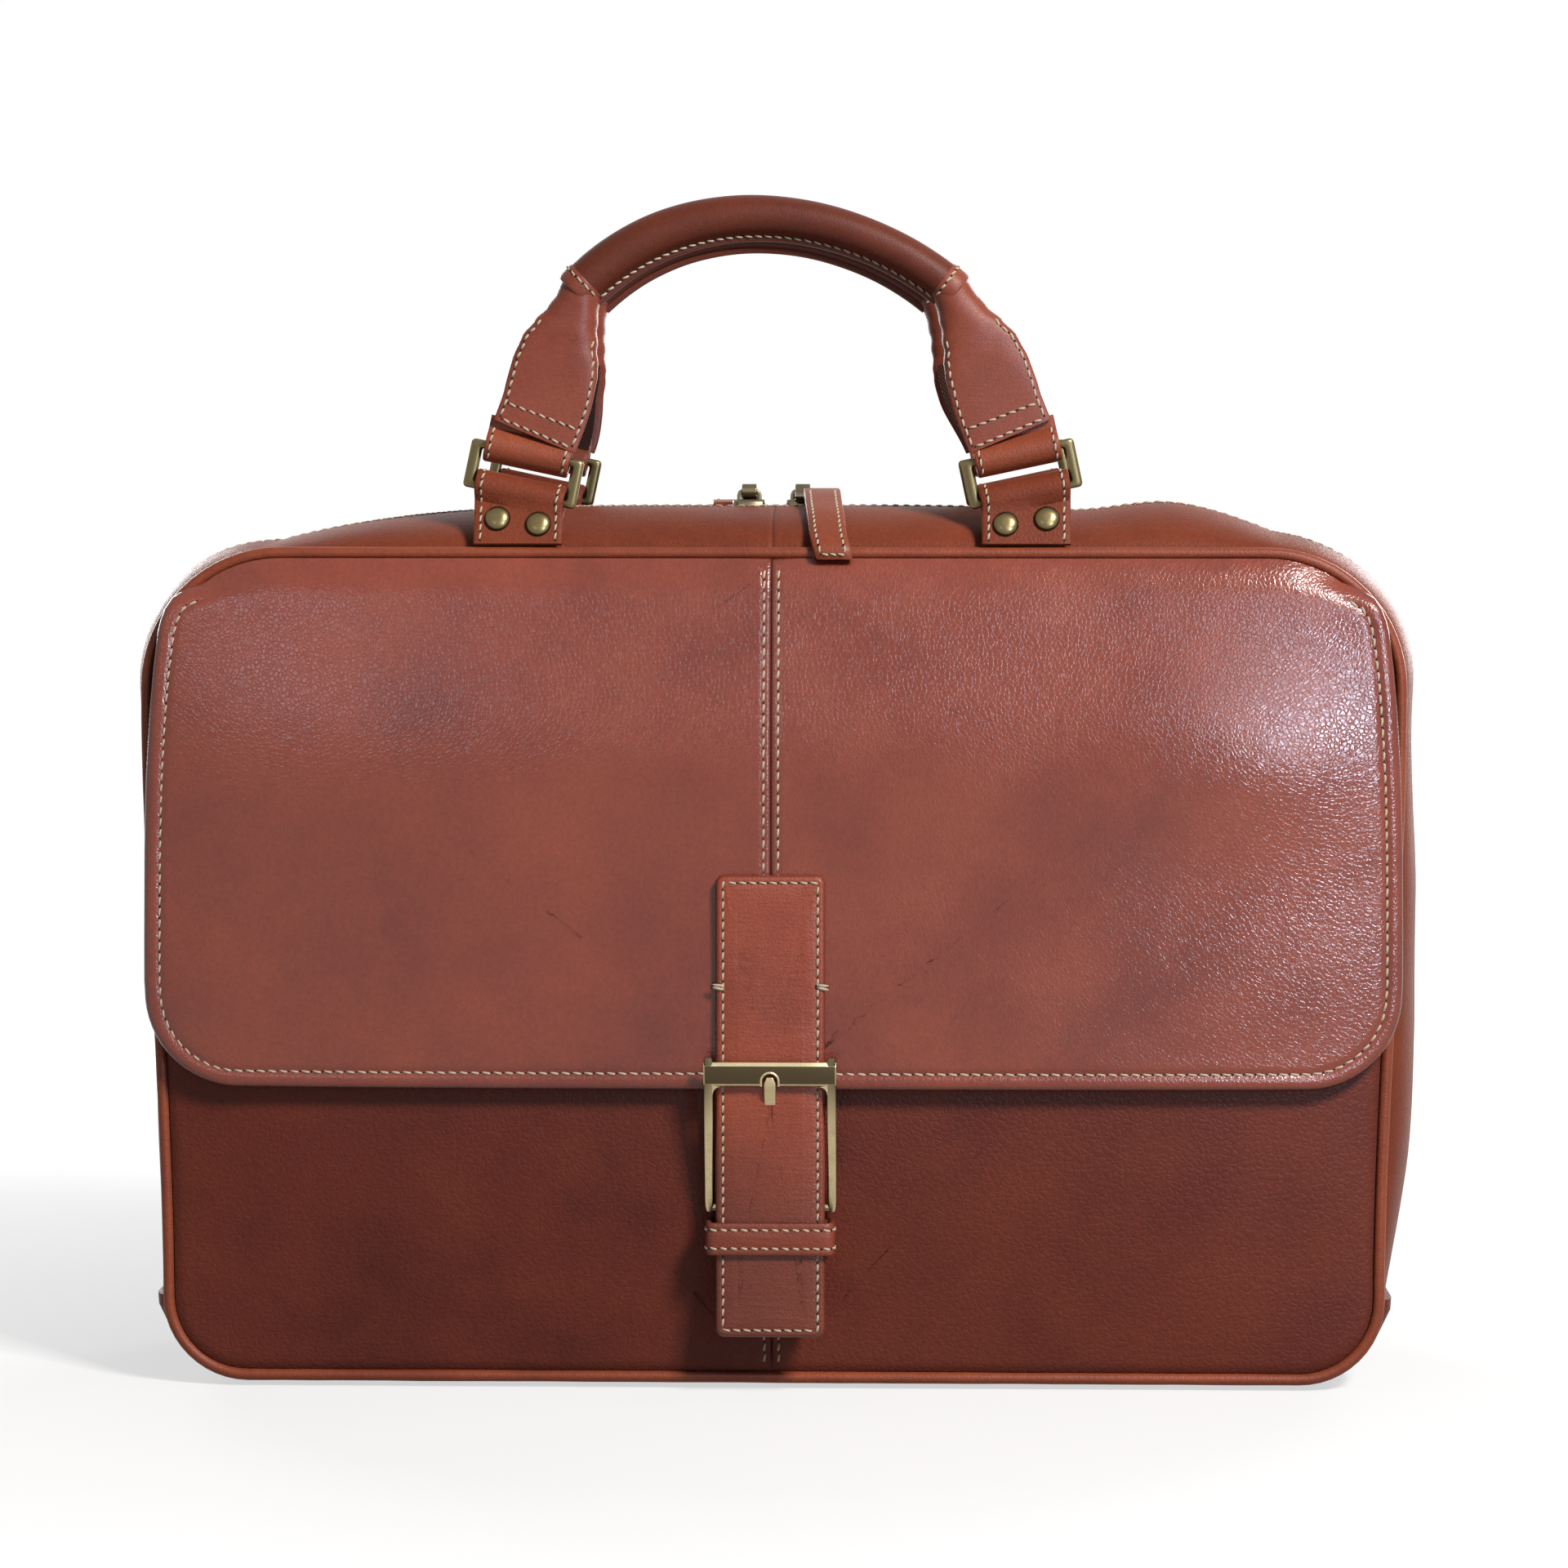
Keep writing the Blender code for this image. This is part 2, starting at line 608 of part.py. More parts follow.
def prong_path():
    """The prong's line in (y, z): an eye round the hinge bar, up behind the strap and out to the notch."""
    y, z = hinge_bar_y(), HINGE_BAR_Z
    radius = HINGE_BAR_RADIUS + CLEARANCE + PRONG_THICKNESS / 2
    low, high = prong_hole()
    bar = BUCKLE_TOP - BUCKLE_TOP_BAR
    path = arc((y, z), radius, 60, -180, 8)
    path.append((strap_back(low) + CLEARANCE + PRONG_THICKNESS / 2, low))
    path.append((strap_front(high) - CLEARANCE - PRONG_THICKNESS / 2, high))
    path.append((buckle_y(bar), bar + NOTCH_HEIGHT - NOTCH_HALF_WIDTH))
    return path


def prong_hole():
    """Lower and upper edge of the strap's hole, just under the buckle's top bar."""
    high = BUCKLE_TOP - BUCKLE_TOP_BAR - PRONG_THICKNESS
    return high - 2 * STRAP_THICKNESS - 3 * PRONG_THICKNESS, high


def offset_line(points, distance):
    """A line of (a, b) points moved sideways, to the left of the way it runs."""
    moved = []
    for k, point in enumerate(points):
        before = Vector(points[max(k - 1, 0)])
        after = Vector(points[min(k + 1, len(points) - 1)])
        here = Vector(point)
        first = (here - before).normalized() if k else (after - here).normalized()
        second = (after - here).normalized() if k < len(points) - 1 else first
        along = (first + second).normalized()
        stretch = 1 / max(along.dot(first), 0.5)
        moved.append((here.x - along.y * distance * stretch, here.y + along.x * distance * stretch))
    return moved


def ribbon(points, thickness):
    """Both faces of a bent strip, as one closed line."""
    return offset_line(points, thickness / 2) + offset_line(points, -thickness / 2)[::-1]


def make_prong(hinge):
    shape = ribbon(prong_path(), PRONG_THICKNESS)
    ends = (-PRONG_HALF_WIDTH, PRONG_HALF_WIDTH)
    add("buckle_prong", loft([[(x, y, z) for y, z in shape] for x in ends]), "antique_brass", hinge)


def folded(bore, thickness, neck, tails):
    """A strip folded round a bar, as (across, up): the loop is at the origin and its tails hang down."""
    mid = bore + thickness / 2
    side = LOOP_SLIT / 2 + thickness / 2
    line = [(side, -tails[0]), (side, -neck)]
    line += arc((0, 0), mid, -35, 215, 2 * ARC_STEPS)
    line += [(-side, -neck), (-side, -tails[1])]
    return ribbon(line, thickness)


def make_chape(hinge):
    """The short strap that holds the buckle's hinge bar behind the flap strap."""
    y = hinge_bar_y()
    tail = HINGE_BAR_Z - CHAPE_FOOT
    bore = HINGE_BAR_RADIUS + CLEARANCE
    neck = bore + 2 * CHAPE
    shape = folded(bore, CHAPE, neck, (tail, tail))
    ends = (-CHAPE_HALF_WIDTH, CHAPE_HALF_WIDTH)
    rings = [[(x, y + across, HINGE_BAR_Z + up) for across, up in shape] for x in ends]
    chape = add("buckle_chape", loft(rings), "dark_leather", hinge)
    half = PRONG_HALF_WIDTH + 2 * CLEARANCE
    reach = bore + CHAPE + PRONG_THICKNESS
    slot = block((-half, y - reach, HINGE_BAR_Z - reach), (half, y + reach, HINGE_BAR_Z + reach))
    combine(chape, slot, "DIFFERENCE")


def chape_faces():
    """Front and rear face of the chape's folded tail."""
    half = LOOP_SLIT / 2 + CHAPE
    return hinge_bar_y() - half, hinge_bar_y() + half


def rounded_box(half_a, half_b, radius, steps):
    """A rectangle with round corners, anticlockwise from the middle of its right side."""
    points = []
    for quarter, (sa, sb) in enumerate(((1, 1), (-1, 1), (-1, -1), (1, -1))):
        centre = (sa * (half_a - radius), sb * (half_b - radius))
        points += arc(centre, radius, 90 * quarter, 90 * quarter + 90, steps)
    return points


def make_keeper(hinge):
    """A stitched band round the strap and the chape."""
    front = strap_front(KEEPER_FOOT) - CLEARANCE
    back = chape_faces()[1] + CLEARANCE
    middle = (front + back) / 2
    half_y = (back - front) / 2
    half_x = STRAP_HALF_WIDTH + KEEPER_PLAY
    inner = rounded_box(half_x, half_y, KEEPER, 3)
    outer = rounded_box(half_x + KEEPER, half_y + KEEPER, 2 * KEEPER, 3)
    top = KEEPER_FOOT + KEEPER_HEIGHT
    rings = []
    for (ax, ay), (bx, by) in zip(inner, outer):
        section = [(ax, ay, KEEPER_FOOT), (bx, by, KEEPER_FOOT), (bx, by, top), (ax, ay, top)]
        rings.append([(x, middle + y, z) for x, y, z in section])
    add("strap_keeper", loft(rings, loop=True), "tan_leather", hinge)


def disc(place, start, end, radius, sides=16):
    """A round plate along Y."""
    circle = arc(place, radius, 0, 360, sides)[:-1]
    return loft([[(x, y, z) for x, z in circle] for y in (start, end)])


def make_snap(hinge):
    """The two halves of the magnetic snap: one on the chape, one on the pocket."""
    place = (0.0, SNAP_HEIGHT)
    chape = chape_faces()[1] + CLEARANCE
    pocket = pocket_face(0.0, SNAP_HEIGHT + SNAP_RADIUS) - LEATHER - CLEARANCE
    meet = (chape + pocket) / 2
    add("snap_socket", disc(place, chape, meet - CLEARANCE / 2, SNAP_RADIUS), "antique_brass", hinge)
    add("snap_stud", disc(place, meet + CLEARANCE / 2, pocket, SNAP_RADIUS), "antique_brass")


Mount = namedtuple("Mount", "side hand foot across up out")


def ring_mount(side, hand):
    """Where a ring hangs: its lower bar, its two directions in the ring's plane, and the way it faces."""
    foot = Vector((hand * TAB_X, side * HANDLE_Y, RING_FOOT_Z))
    across = Vector((hand * math.cos(RING_TILT), 0, math.sin(RING_TILT)))
    up = Vector((-hand * math.sin(RING_TILT), 0, math.cos(RING_TILT)))
    return Mount(side, hand, foot, across, up, Vector((0, side, 0)))


def node_name(mount, piece):
    return f"{SIDE_NAMES[mount.side]}_{HAND_NAMES[mount.hand]}_{piece}"


def tab_place(mount, along, across, up):
    """A place on a handle tab: level where it is sewn in, tilted with the ring at its loop."""
    tilt = smoothstep((up + TAB_FRONT_TAIL) / (TAB_FRONT_TAIL - LOOP_NECK))
    lean = mount.hand * math.tan(RING_TILT) * tilt
    on_loop = up > -0.8 * LOOP_NECK
    rise = up if on_loop else up + along * lean
    y = mount.foot.y + mount.side * (across * math.cos(TAB_LEAN) - rise * math.sin(TAB_LEAN))
    height = across * math.sin(TAB_LEAN) + rise * math.cos(TAB_LEAN)
    lift = along * lean if on_loop else 0.0
    return (mount.foot.x + along - height * lean, y, mount.foot.z + height + lift)


def make_tab(mount):
    """A strap folded round the ring's lower bar, sewn in at the piping and closed by two rivets."""
    shape = folded(LOOP_BORE, STRAP_LOOP, LOOP_NECK, (TAB_FRONT_TAIL, TAB_BACK_TAIL))
    ends = (-TAB_WIDTH / 2, 0.0, TAB_WIDTH / 2)
    rings = [[tab_place(mount, end, across, up) for across, up in shape] for end in ends]
    tab = add(node_name(mount, "handle_tab"), loft(rings), "tan_leather")
    holes = bmesh.new()
    for hand in (LEFT, RIGHT):
        rivet_solid(mount, hand, [(-2 * TAB_HALF_STACK, 1.0), (2 * TAB_HALF_STACK, 1.0)],
                    RIVET_SHANK + CLEARANCE, holes)
        rings = [(TAB_HALF_STACK + CLEARANCE + RIVET_DOME, 0.3), (TAB_HALF_STACK + CLEARANCE + 0.85 * RIVET_DOME, 0.7)]
        rings += [(TAB_HALF_STACK + CLEARANCE + 0.3 * RIVET_DOME, 1.0), (TAB_HALF_STACK + CLEARANCE, 1.0)]
        shank = RIVET_SHANK / RIVET_RADIUS
        cap = RIVET_CAP / RIVET_RADIUS
        back = -TAB_HALF_STACK - CLEARANCE
        rings += [(TAB_HALF_STACK + CLEARANCE, shank), (back, shank), (back, cap), (back - LINING, cap)]
        rivet = rivet_solid(mount, hand, rings, RIVET_RADIUS, bmesh.new())
        add(node_name(mount, f"{HAND_NAMES[hand]}_rivet"), rivet, "antique_brass")
    combine(tab, holes, "DIFFERENCE")


def rivet_solid(mount, hand, rings, radius, mesh):
    """A turned solid across the tab: rings are (place through the tab, share of the radius)."""
    along = hand * RIVET_SPACING / 2
    centre = Vector(tab_place(mount, along, 0.0, -RIVET_DROP))
    through = (Vector(tab_place(mount, along, TAB_HALF_STACK, -RIVET_DROP)) - centre).normalized()
    side = Vector((1, 0, 0))
    up = through.cross(side).normalized()
    circle = arc((0, 0), radius, 0, 360, 2 * ARC_STEPS)[:-1]
    solid = loft([[centre + through * a + (side * c + up * s) * share for c, s in circle] for a, share in rings])
    data = bpy.data.meshes.new("turned")
    solid.to_mesh(data)
    solid.free()
    mesh.from_mesh(data)
    bpy.data.meshes.remove(data)
    return mesh


def make_ring(mount, on):
    """A flat rectangular ring: its lower bar lies in the tab, its upper bar in the handle's loop."""
    centre = mount.foot + mount.up * RING_REACH / 2
    outer = rounded_box(RING_WIDTH / 2, RING_HEIGHT / 2, RING_CROSS_BAR / 2, 2)
    inner = rounded_box(RING_WIDTH / 2 - RING_SIDE_BAR, RING_HEIGHT / 2 - RING_CROSS_BAR, RING_CROSS_BAR / 4, 2)
    half = mount.out * RING_DEPTH / 2
    rings = []
    for (oa, ob), (ia, ib) in zip(outer, inner):
        far = centre + mount.across * oa + mount.up * ob
        near = centre + mount.across * ia + mount.up * ib
        rings.append([far + half, far - half, near - half, near + half])
    add(node_name(mount, "ring"), loft(rings, loop=True), "antique_brass", on)


def make_handle_loop(mount, on):
    """The folded end of a handle leg, round the ring's upper bar."""
    top = mount.foot + mount.up * RING_REACH
    shape = folded(LOOP_BORE, STRAP_LOOP, LOOP_NECK, (HANDLE_TAIL, HANDLE_TAIL))
    rings = []
    for end in (-TAB_WIDTH / 2, TAB_WIDTH / 2):
        rings.append([top + mount.across * end + mount.out * a - mount.up * b for a, b in shape])
    add(node_name(mount, "handle_loop"), loft(rings), "piping_leather", on)


def leg_path(mount):
    """Points up the middle of a handle leg, from the ring's upper bar to the end of the grip."""
    start = mount.foot + mount.up * RING_REACH
    end = Vector((mount.hand * GRIP_HALF_SPAN, start.y, GRIP_TOP - GRIP_RADIUS - GRIP_ARCH))
    slope = math.asin(GRIP_HALF_SPAN / grip_bend())
    rise = Vector((-mount.hand * math.sin(LEG_LEAN), 0, math.cos(LEG_LEAN)))
    run = Vector((-mount.hand * math.cos(slope), 0, math.sin(slope)))
    gap = end - start
    reach = (gap.x * run.z - gap.z * run.x) / (rise.x * run.z - rise.z * run.x)
    bend = start + rise * reach
    steps = 40
    return [start.lerp(bend, k / steps).lerp(bend.lerp(end, k / steps), k / steps) for k in range(steps + 1)]


def grip_bend():
    """Radius of the grip's arch through its two ends and its top."""
    return (GRIP_HALF_SPAN ** 2 + GRIP_ARCH ** 2) / (2 * GRIP_ARCH)


def place_along(path, distance):
    """The point at a distance along a path, and the way the path runs there."""
    for low, high in zip(path, path[1:]):
        step = (high - low).length
        if distance <= step:
            break
        distance -= step
    way = (high - low).normalized()
    return low + way * distance, way


def leg_sections(mount, sections, squareness):
    """Rings along a leg: each section is (distance, half width, half thickness, offset outwards)."""
    path = leg_path(mount)
    rings = []
    for distance, half_width, half_thickness, offset in sections:
        centre, way = place_along(path, distance)
        side = way.cross(mount.out).normalized()
        ring = []
        for k in range(12):
            a = 2 * math.pi * (k + 0.5) / 12
            across = math.copysign(abs(math.cos(a)) ** squareness, math.cos(a))
            through = math.copysign(abs(math.sin(a)) ** squareness, math.sin(a))
            ring.append(centre + side * half_width * across + mount.out * (offset + half_thickness * through))
        rings.append(ring)
    return rings


def make_leg(mount, on):
    """A handle leg: one layer over the loop's tail, closing to a round end under the grip."""
    path = leg_path(mount)
    length = sum((b - a).length for a, b in zip(path, path[1:]))
    flat = LEG_LEATHER / 2
    front = TAB_HALF_STACK + CLEARANCE + flat
    free = length - HANDLE_TAIL
    sections = [(LEG_START, LEG_HALF_WIDTH, flat, front), (HANDLE_TAIL, LEG_HALF_WIDTH, flat, front)]
    for share, width in ((0.3, 1.0), (0.55, 0.94), (0.75, 0.74), (0.9, 0.53)):
        round_off = smoothstep(share)
        half = flat + (GRIP_RADIUS - flat) * round_off
        sections.append((HANDLE_TAIL + free * share, LEG_HALF_WIDTH * width, half, front * (1 - round_off)))
    sections.append((length - CLEARANCE, GRIP_RADIUS - LEG_LEATHER / 4, GRIP_RADIUS - LEG_LEATHER / 4, 0.0))
    add(node_name(mount, "handle_leg"), loft(leg_sections(mount, sections, 0.7)), "tan_leather", on)
    inside = -TAB_HALF_STACK - CLEARANCE - WEBBING / 2
    ends = [LEG_START + (WEBBING_END - LEG_START) * k / 3 for k in range(4)]
    strip = [(end, WEBBING_HALF_WIDTH, WEBBING / 2, inside) for end in ends]
    add(node_name(mount, "handle_webbing"), loft(leg_sections(mount, strip, 0.4)), "webbing", on)


def make_grip(side, on):
    """The padded grip: a leather tube along an arch, sewn in a fin along its underside."""
    bend = grip_bend()
    centre = Vector((0, side * HANDLE_Y, GRIP_TOP - GRIP_RADIUS - bend))
    limit = math.asin(GRIP_HALF_SPAN / bend)
    ring = arc((0, 0), GRIP_RADIUS, -75, 255, 10)
    fin = GRIP_RADIUS + GRIP_FIN
    ring += [(-GRIP_FIN_HALF_WIDTH, -fin), (GRIP_FIN_HALF_WIDTH, -fin)]
    rings = []
    steps = 3 * ARC_STEPS
    for k in range(steps + 1):
        turn = limit * (2 * k / steps - 1)
        out = Vector((math.sin(turn), 0, math.cos(turn)))
        rings.append([centre + out * (bend + up) + Vector((0, across, 0)) for across, up in ring])
    add(f"{SIDE_NAMES[side]}_handle_grip", loft(rings), "tan_leather", on)


def make_handles():
    for side in (FRONT, BACK):
        name = SIDE_NAMES[side]
        mounts = [ring_mount(side, hand) for hand in (LEFT, RIGHT)]
        foot = mounts[0].foot
        top = foot + mounts[0].up * RING_REACH
        ring_axis = axis(f"{name}_ring_axis", (0, foot.y, foot.z))
        handle_axis = axis(f"{name}_handle_axis", (0, top.y, top.z))
        for mount in mounts:
            make_tab(mount)
            make_ring(mount, ring_axis)
            make_handle_loop(mount, handle_axis)
            make_leg(mount, handle_axis)
        make_grip(side, handle_axis)


def make_slider(hand, side):
    """A zip slider that straddles the chain, with a bridge on top and a leather pull on a metal link."""
    name = HAND_NAMES[hand]
    x = hand * SLIDER_X
    chain_top = CREST_Z - LEATHER + CHAIN_HEIGHT + CLEARANCE
    foot = CREST_Z - LEATHER
    top = chain_top + SLIDER_PLATE
    inner = CHAIN_WIDTH / 2 + CLEARANCE
    outer = ZIP_GAP / 2 - CLEARANCE
    shape = [(outer - SLIDER_BEVEL, top), (outer, top - SLIDER_BEVEL), (outer, foot), (inner, foot)]
    shape += [(inner, chain_top)]
    shape += [(-depth, height) for depth, height in reversed(shape)]
    ends = (x - SLIDER_LENGTH / 2, x + SLIDER_LENGTH / 2)
    pivot = (x, 0.0, top + BRIDGE_EYE + BRIDGE_BAR / 2)
    slide = axis(f"{name}_slider_axis", pivot)
    slider = add(f"{name}_slider", loft([[(at, y, z) for y, z in shape] for at in ends]), "antique_brass", slide)
    sunk = top - SLIDER_PLATE / 2
    shoulder = BRIDGE_SPAN / 2 - BRIDGE_BAR / 2
    line = [(-shoulder, sunk), (-shoulder, pivot[2]), (shoulder, pivot[2]), (shoulder, sunk)]
    half = BRIDGE_WIDTH / 2
    bridge = loft([[(x + a, y, b) for a, b in ribbon(line, BRIDGE_BAR)] for y in (-half, half)])
    combine(slider, bridge, "UNION")
    make_pull(name, hand, side, Vector(pivot), slide)


def make_pull(name, hand, side, pivot, slide):
    turn = axis(f"{name}_pull_axis", pivot)
    path = pull_path(side)
    start = Vector((0, path[0][0], path[0][1]))
    tail = start - Vector((0, pivot.y, pivot.z))
    down = tail.normalized()
    across = Vector((0, -down.z, down.y))
    bore = math.hypot(BRIDGE_BAR, BRIDGE_WIDTH) / 2 + CLEARANCE
    length = tail.length - CLEARANCE
    shape = folded(bore, LINK, bore + 2 * LINK, (length, length))
    rings = []
    for end in (-LINK_WIDTH / 2, LINK_WIDTH / 2):
        rings.append([pivot + Vector((end, 0, 0)) + across * a - down * b for a, b in shape])
    add(f"{name}_pull_link", loft(rings), "antique_brass", turn)
    rings = []
    for k, (y, z) in enumerate(path):
        before = Vector(path[max(k - 1, 0)])
        after = Vector(path[min(k + 1, len(path) - 1)])
        along = (after - before).normalized()
        face = Vector((0, -along.y, along.x)) * PULL_THICKNESS / 2
        share = k / (len(path) - 1)
        x = pivot.x + hand * (PULL_SHIFT + (PULL_LEAN - PULL_SHIFT) * share)
        ring = []
        for end, sign in ((-1, -1), (1, -1), (1, 1), (-1, 1)):
            ring.append(Vector((x + end * PULL_WIDTH / 2, y, z)) + face * sign)
        rings.append(ring)
    add(f"{name}_pull", loft(rings), "piping_leather", turn)


def pull_path(side):
    """Middle line of a leather pull as (y, z): from its link, down the gusset and over the piping."""
    lift = PULL_THICKNESS / 2 + 2 * CLEARANCE
    start = gusset_turn(ZIP_GAP / 2 + LINK_TAIL / 3)
    path = []
    for k in range(4):
        turn = start + (math.radians(30) - start) * k / 3
        (depth, height), normal = gusset_point(turn, CROWN_TOP)
        path.append((side * (depth + normal.x * lift), PANEL_TOP + height + normal.y * lift))
    reach = PIPING_RADIUS + lift
    for turn in (120, 165):
        a = math.radians(turn)
        path.append((side * (DEPTH / 2 - reach * math.cos(a)), PANEL_TOP + reach * math.sin(a)))
    path.append((side * (DEPTH / 2 + reach), PANEL_TOP - PULL_DROP))
    return path


def gusset_turn(depth):
    """The turn on the gusset's face at a depth from the middle plane."""
    return math.acos(clamp(1 - (GUSSET_Y - depth) / GUSSET_SPAN))


def main():
    for old in list(bpy.data.objects):
        bpy.data.objects.remove(old)
    make_shell()
    make_flap()
    make_handles()
    make_slider(RIGHT, FRONT)
    make_slider(LEFT, BACK)


main()
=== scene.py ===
# %% [markdown]
# # A leather briefcase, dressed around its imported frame
#
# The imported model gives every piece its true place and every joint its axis. This script dresses that
# frame: each leather piece gets its rolled edges, seams and stitches, each metal piece its bevels and
# patina. All sizes are in metres, with +Z up and the front of the bag towards -Y.

# %% Load the frame
import json
import math
from functools import partial

import bmesh
import bpy
from mathutils import Vector, noise
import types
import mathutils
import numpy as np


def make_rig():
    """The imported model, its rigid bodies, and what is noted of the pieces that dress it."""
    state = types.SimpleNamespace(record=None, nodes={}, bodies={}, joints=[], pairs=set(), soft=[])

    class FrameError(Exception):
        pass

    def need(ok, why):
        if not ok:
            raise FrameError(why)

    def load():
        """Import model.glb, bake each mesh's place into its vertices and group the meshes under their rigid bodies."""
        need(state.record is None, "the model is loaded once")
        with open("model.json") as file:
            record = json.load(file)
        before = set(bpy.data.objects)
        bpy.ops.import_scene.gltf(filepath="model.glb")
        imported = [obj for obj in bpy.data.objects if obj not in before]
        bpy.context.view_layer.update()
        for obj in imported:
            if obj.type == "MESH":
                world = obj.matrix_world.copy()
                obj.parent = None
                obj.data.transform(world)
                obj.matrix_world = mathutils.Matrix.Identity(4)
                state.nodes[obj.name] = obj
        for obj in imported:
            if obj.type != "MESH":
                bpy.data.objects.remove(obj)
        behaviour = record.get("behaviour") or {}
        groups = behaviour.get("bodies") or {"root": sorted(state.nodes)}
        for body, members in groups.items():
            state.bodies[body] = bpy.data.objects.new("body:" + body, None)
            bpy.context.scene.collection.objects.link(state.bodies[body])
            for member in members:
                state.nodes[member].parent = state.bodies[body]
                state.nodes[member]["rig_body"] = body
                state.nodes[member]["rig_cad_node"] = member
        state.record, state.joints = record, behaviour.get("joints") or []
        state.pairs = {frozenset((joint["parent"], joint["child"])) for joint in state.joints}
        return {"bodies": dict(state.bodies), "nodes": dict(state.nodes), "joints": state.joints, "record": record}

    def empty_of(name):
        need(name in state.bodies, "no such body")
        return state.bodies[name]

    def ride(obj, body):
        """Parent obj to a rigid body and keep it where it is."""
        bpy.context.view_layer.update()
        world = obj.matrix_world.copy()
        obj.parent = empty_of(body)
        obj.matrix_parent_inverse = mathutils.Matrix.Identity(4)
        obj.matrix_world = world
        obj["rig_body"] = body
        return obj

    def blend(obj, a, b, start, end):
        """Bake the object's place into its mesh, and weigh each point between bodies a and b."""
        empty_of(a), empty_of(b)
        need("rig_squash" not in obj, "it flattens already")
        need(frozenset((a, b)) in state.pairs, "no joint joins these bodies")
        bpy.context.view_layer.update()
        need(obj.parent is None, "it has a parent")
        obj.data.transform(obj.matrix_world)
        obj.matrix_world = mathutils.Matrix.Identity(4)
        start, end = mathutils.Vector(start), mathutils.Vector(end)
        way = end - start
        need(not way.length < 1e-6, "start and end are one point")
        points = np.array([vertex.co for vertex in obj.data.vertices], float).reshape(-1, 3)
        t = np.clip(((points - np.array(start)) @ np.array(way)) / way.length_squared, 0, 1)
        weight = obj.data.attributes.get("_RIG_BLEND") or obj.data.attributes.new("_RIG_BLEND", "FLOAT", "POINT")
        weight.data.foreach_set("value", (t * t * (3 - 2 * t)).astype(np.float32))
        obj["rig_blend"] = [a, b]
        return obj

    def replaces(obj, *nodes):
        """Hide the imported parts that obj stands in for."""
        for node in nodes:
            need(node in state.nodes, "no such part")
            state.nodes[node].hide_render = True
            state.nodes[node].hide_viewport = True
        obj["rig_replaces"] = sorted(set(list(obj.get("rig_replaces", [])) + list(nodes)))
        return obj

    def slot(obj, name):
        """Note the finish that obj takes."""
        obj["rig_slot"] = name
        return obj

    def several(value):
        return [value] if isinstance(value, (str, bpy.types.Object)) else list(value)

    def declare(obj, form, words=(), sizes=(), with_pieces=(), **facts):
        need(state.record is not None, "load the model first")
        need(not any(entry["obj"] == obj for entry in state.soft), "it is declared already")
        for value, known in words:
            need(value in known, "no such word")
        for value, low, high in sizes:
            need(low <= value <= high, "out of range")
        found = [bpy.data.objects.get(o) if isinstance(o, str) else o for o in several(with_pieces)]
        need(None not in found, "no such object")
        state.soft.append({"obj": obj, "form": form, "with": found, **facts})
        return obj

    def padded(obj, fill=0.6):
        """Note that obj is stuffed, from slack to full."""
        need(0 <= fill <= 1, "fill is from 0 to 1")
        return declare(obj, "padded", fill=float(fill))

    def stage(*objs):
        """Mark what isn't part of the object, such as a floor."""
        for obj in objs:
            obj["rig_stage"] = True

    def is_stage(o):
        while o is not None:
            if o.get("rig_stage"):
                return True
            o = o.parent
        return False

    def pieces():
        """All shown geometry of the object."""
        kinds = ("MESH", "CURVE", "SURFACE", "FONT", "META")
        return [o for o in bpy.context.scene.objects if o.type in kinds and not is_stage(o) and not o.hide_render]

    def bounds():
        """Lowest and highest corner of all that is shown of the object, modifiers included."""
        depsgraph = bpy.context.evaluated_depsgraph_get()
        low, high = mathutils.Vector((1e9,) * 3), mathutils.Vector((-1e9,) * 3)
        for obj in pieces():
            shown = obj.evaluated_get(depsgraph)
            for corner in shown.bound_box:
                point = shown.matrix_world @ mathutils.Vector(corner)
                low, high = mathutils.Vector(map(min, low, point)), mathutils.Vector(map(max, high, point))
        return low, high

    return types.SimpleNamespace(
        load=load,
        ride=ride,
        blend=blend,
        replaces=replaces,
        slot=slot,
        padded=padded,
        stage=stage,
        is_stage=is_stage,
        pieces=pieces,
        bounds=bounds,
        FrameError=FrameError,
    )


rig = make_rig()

MM = 0.001
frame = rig.load()
cad_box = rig.bounds()
print("bodies:", ", ".join(frame["bodies"]))

# %% [markdown]
# ## Helpers for meshes
#
# Nearly every piece is a loft: rings of points with the same count, joined by quads and closed by a cap
# at each end. That suits leather work, because a ring can follow the cut edge of a panel and the next
# ring lies a little further in, so that rolled edges and stitch grooves run along the edge and never cut
# across the mesh.

# %% Ramps and tables
def clamp(value, low=0.0, high=1.0):
    return min(max(value, low), high)


def smoothstep(value):
    t = clamp(value)
    return t * t * (3 - 2 * t)


def lerp(a, b, t):
    return a + (b - a) * t


def interpolate(table, value):
    """A value between the rows of a table of (key, value), keys rising."""
    if value <= table[0][0]:
        return table[0][1]
    for (low, start), (high, end) in zip(table, table[1:]):
        if value <= high:
            return lerp(start, end, smoothstep((value - low) / (high - low)))
    return table[-1][1]


# %% Lofts and objects
def new_object(name, mesh, material, sharp=35):
    """An object from a bmesh, shaded smooth but for edges sharper than an angle."""
    data = bpy.data.meshes.new(name)
    mesh.to_mesh(data)
    mesh.free()
    data.shade_smooth()
    data.set_sharp_from_angle(angle=math.radians(sharp))
    data.materials.append(material)
    piece = bpy.data.objects.new(name, data)
    bpy.context.collection.objects.link(piece)
    return piece


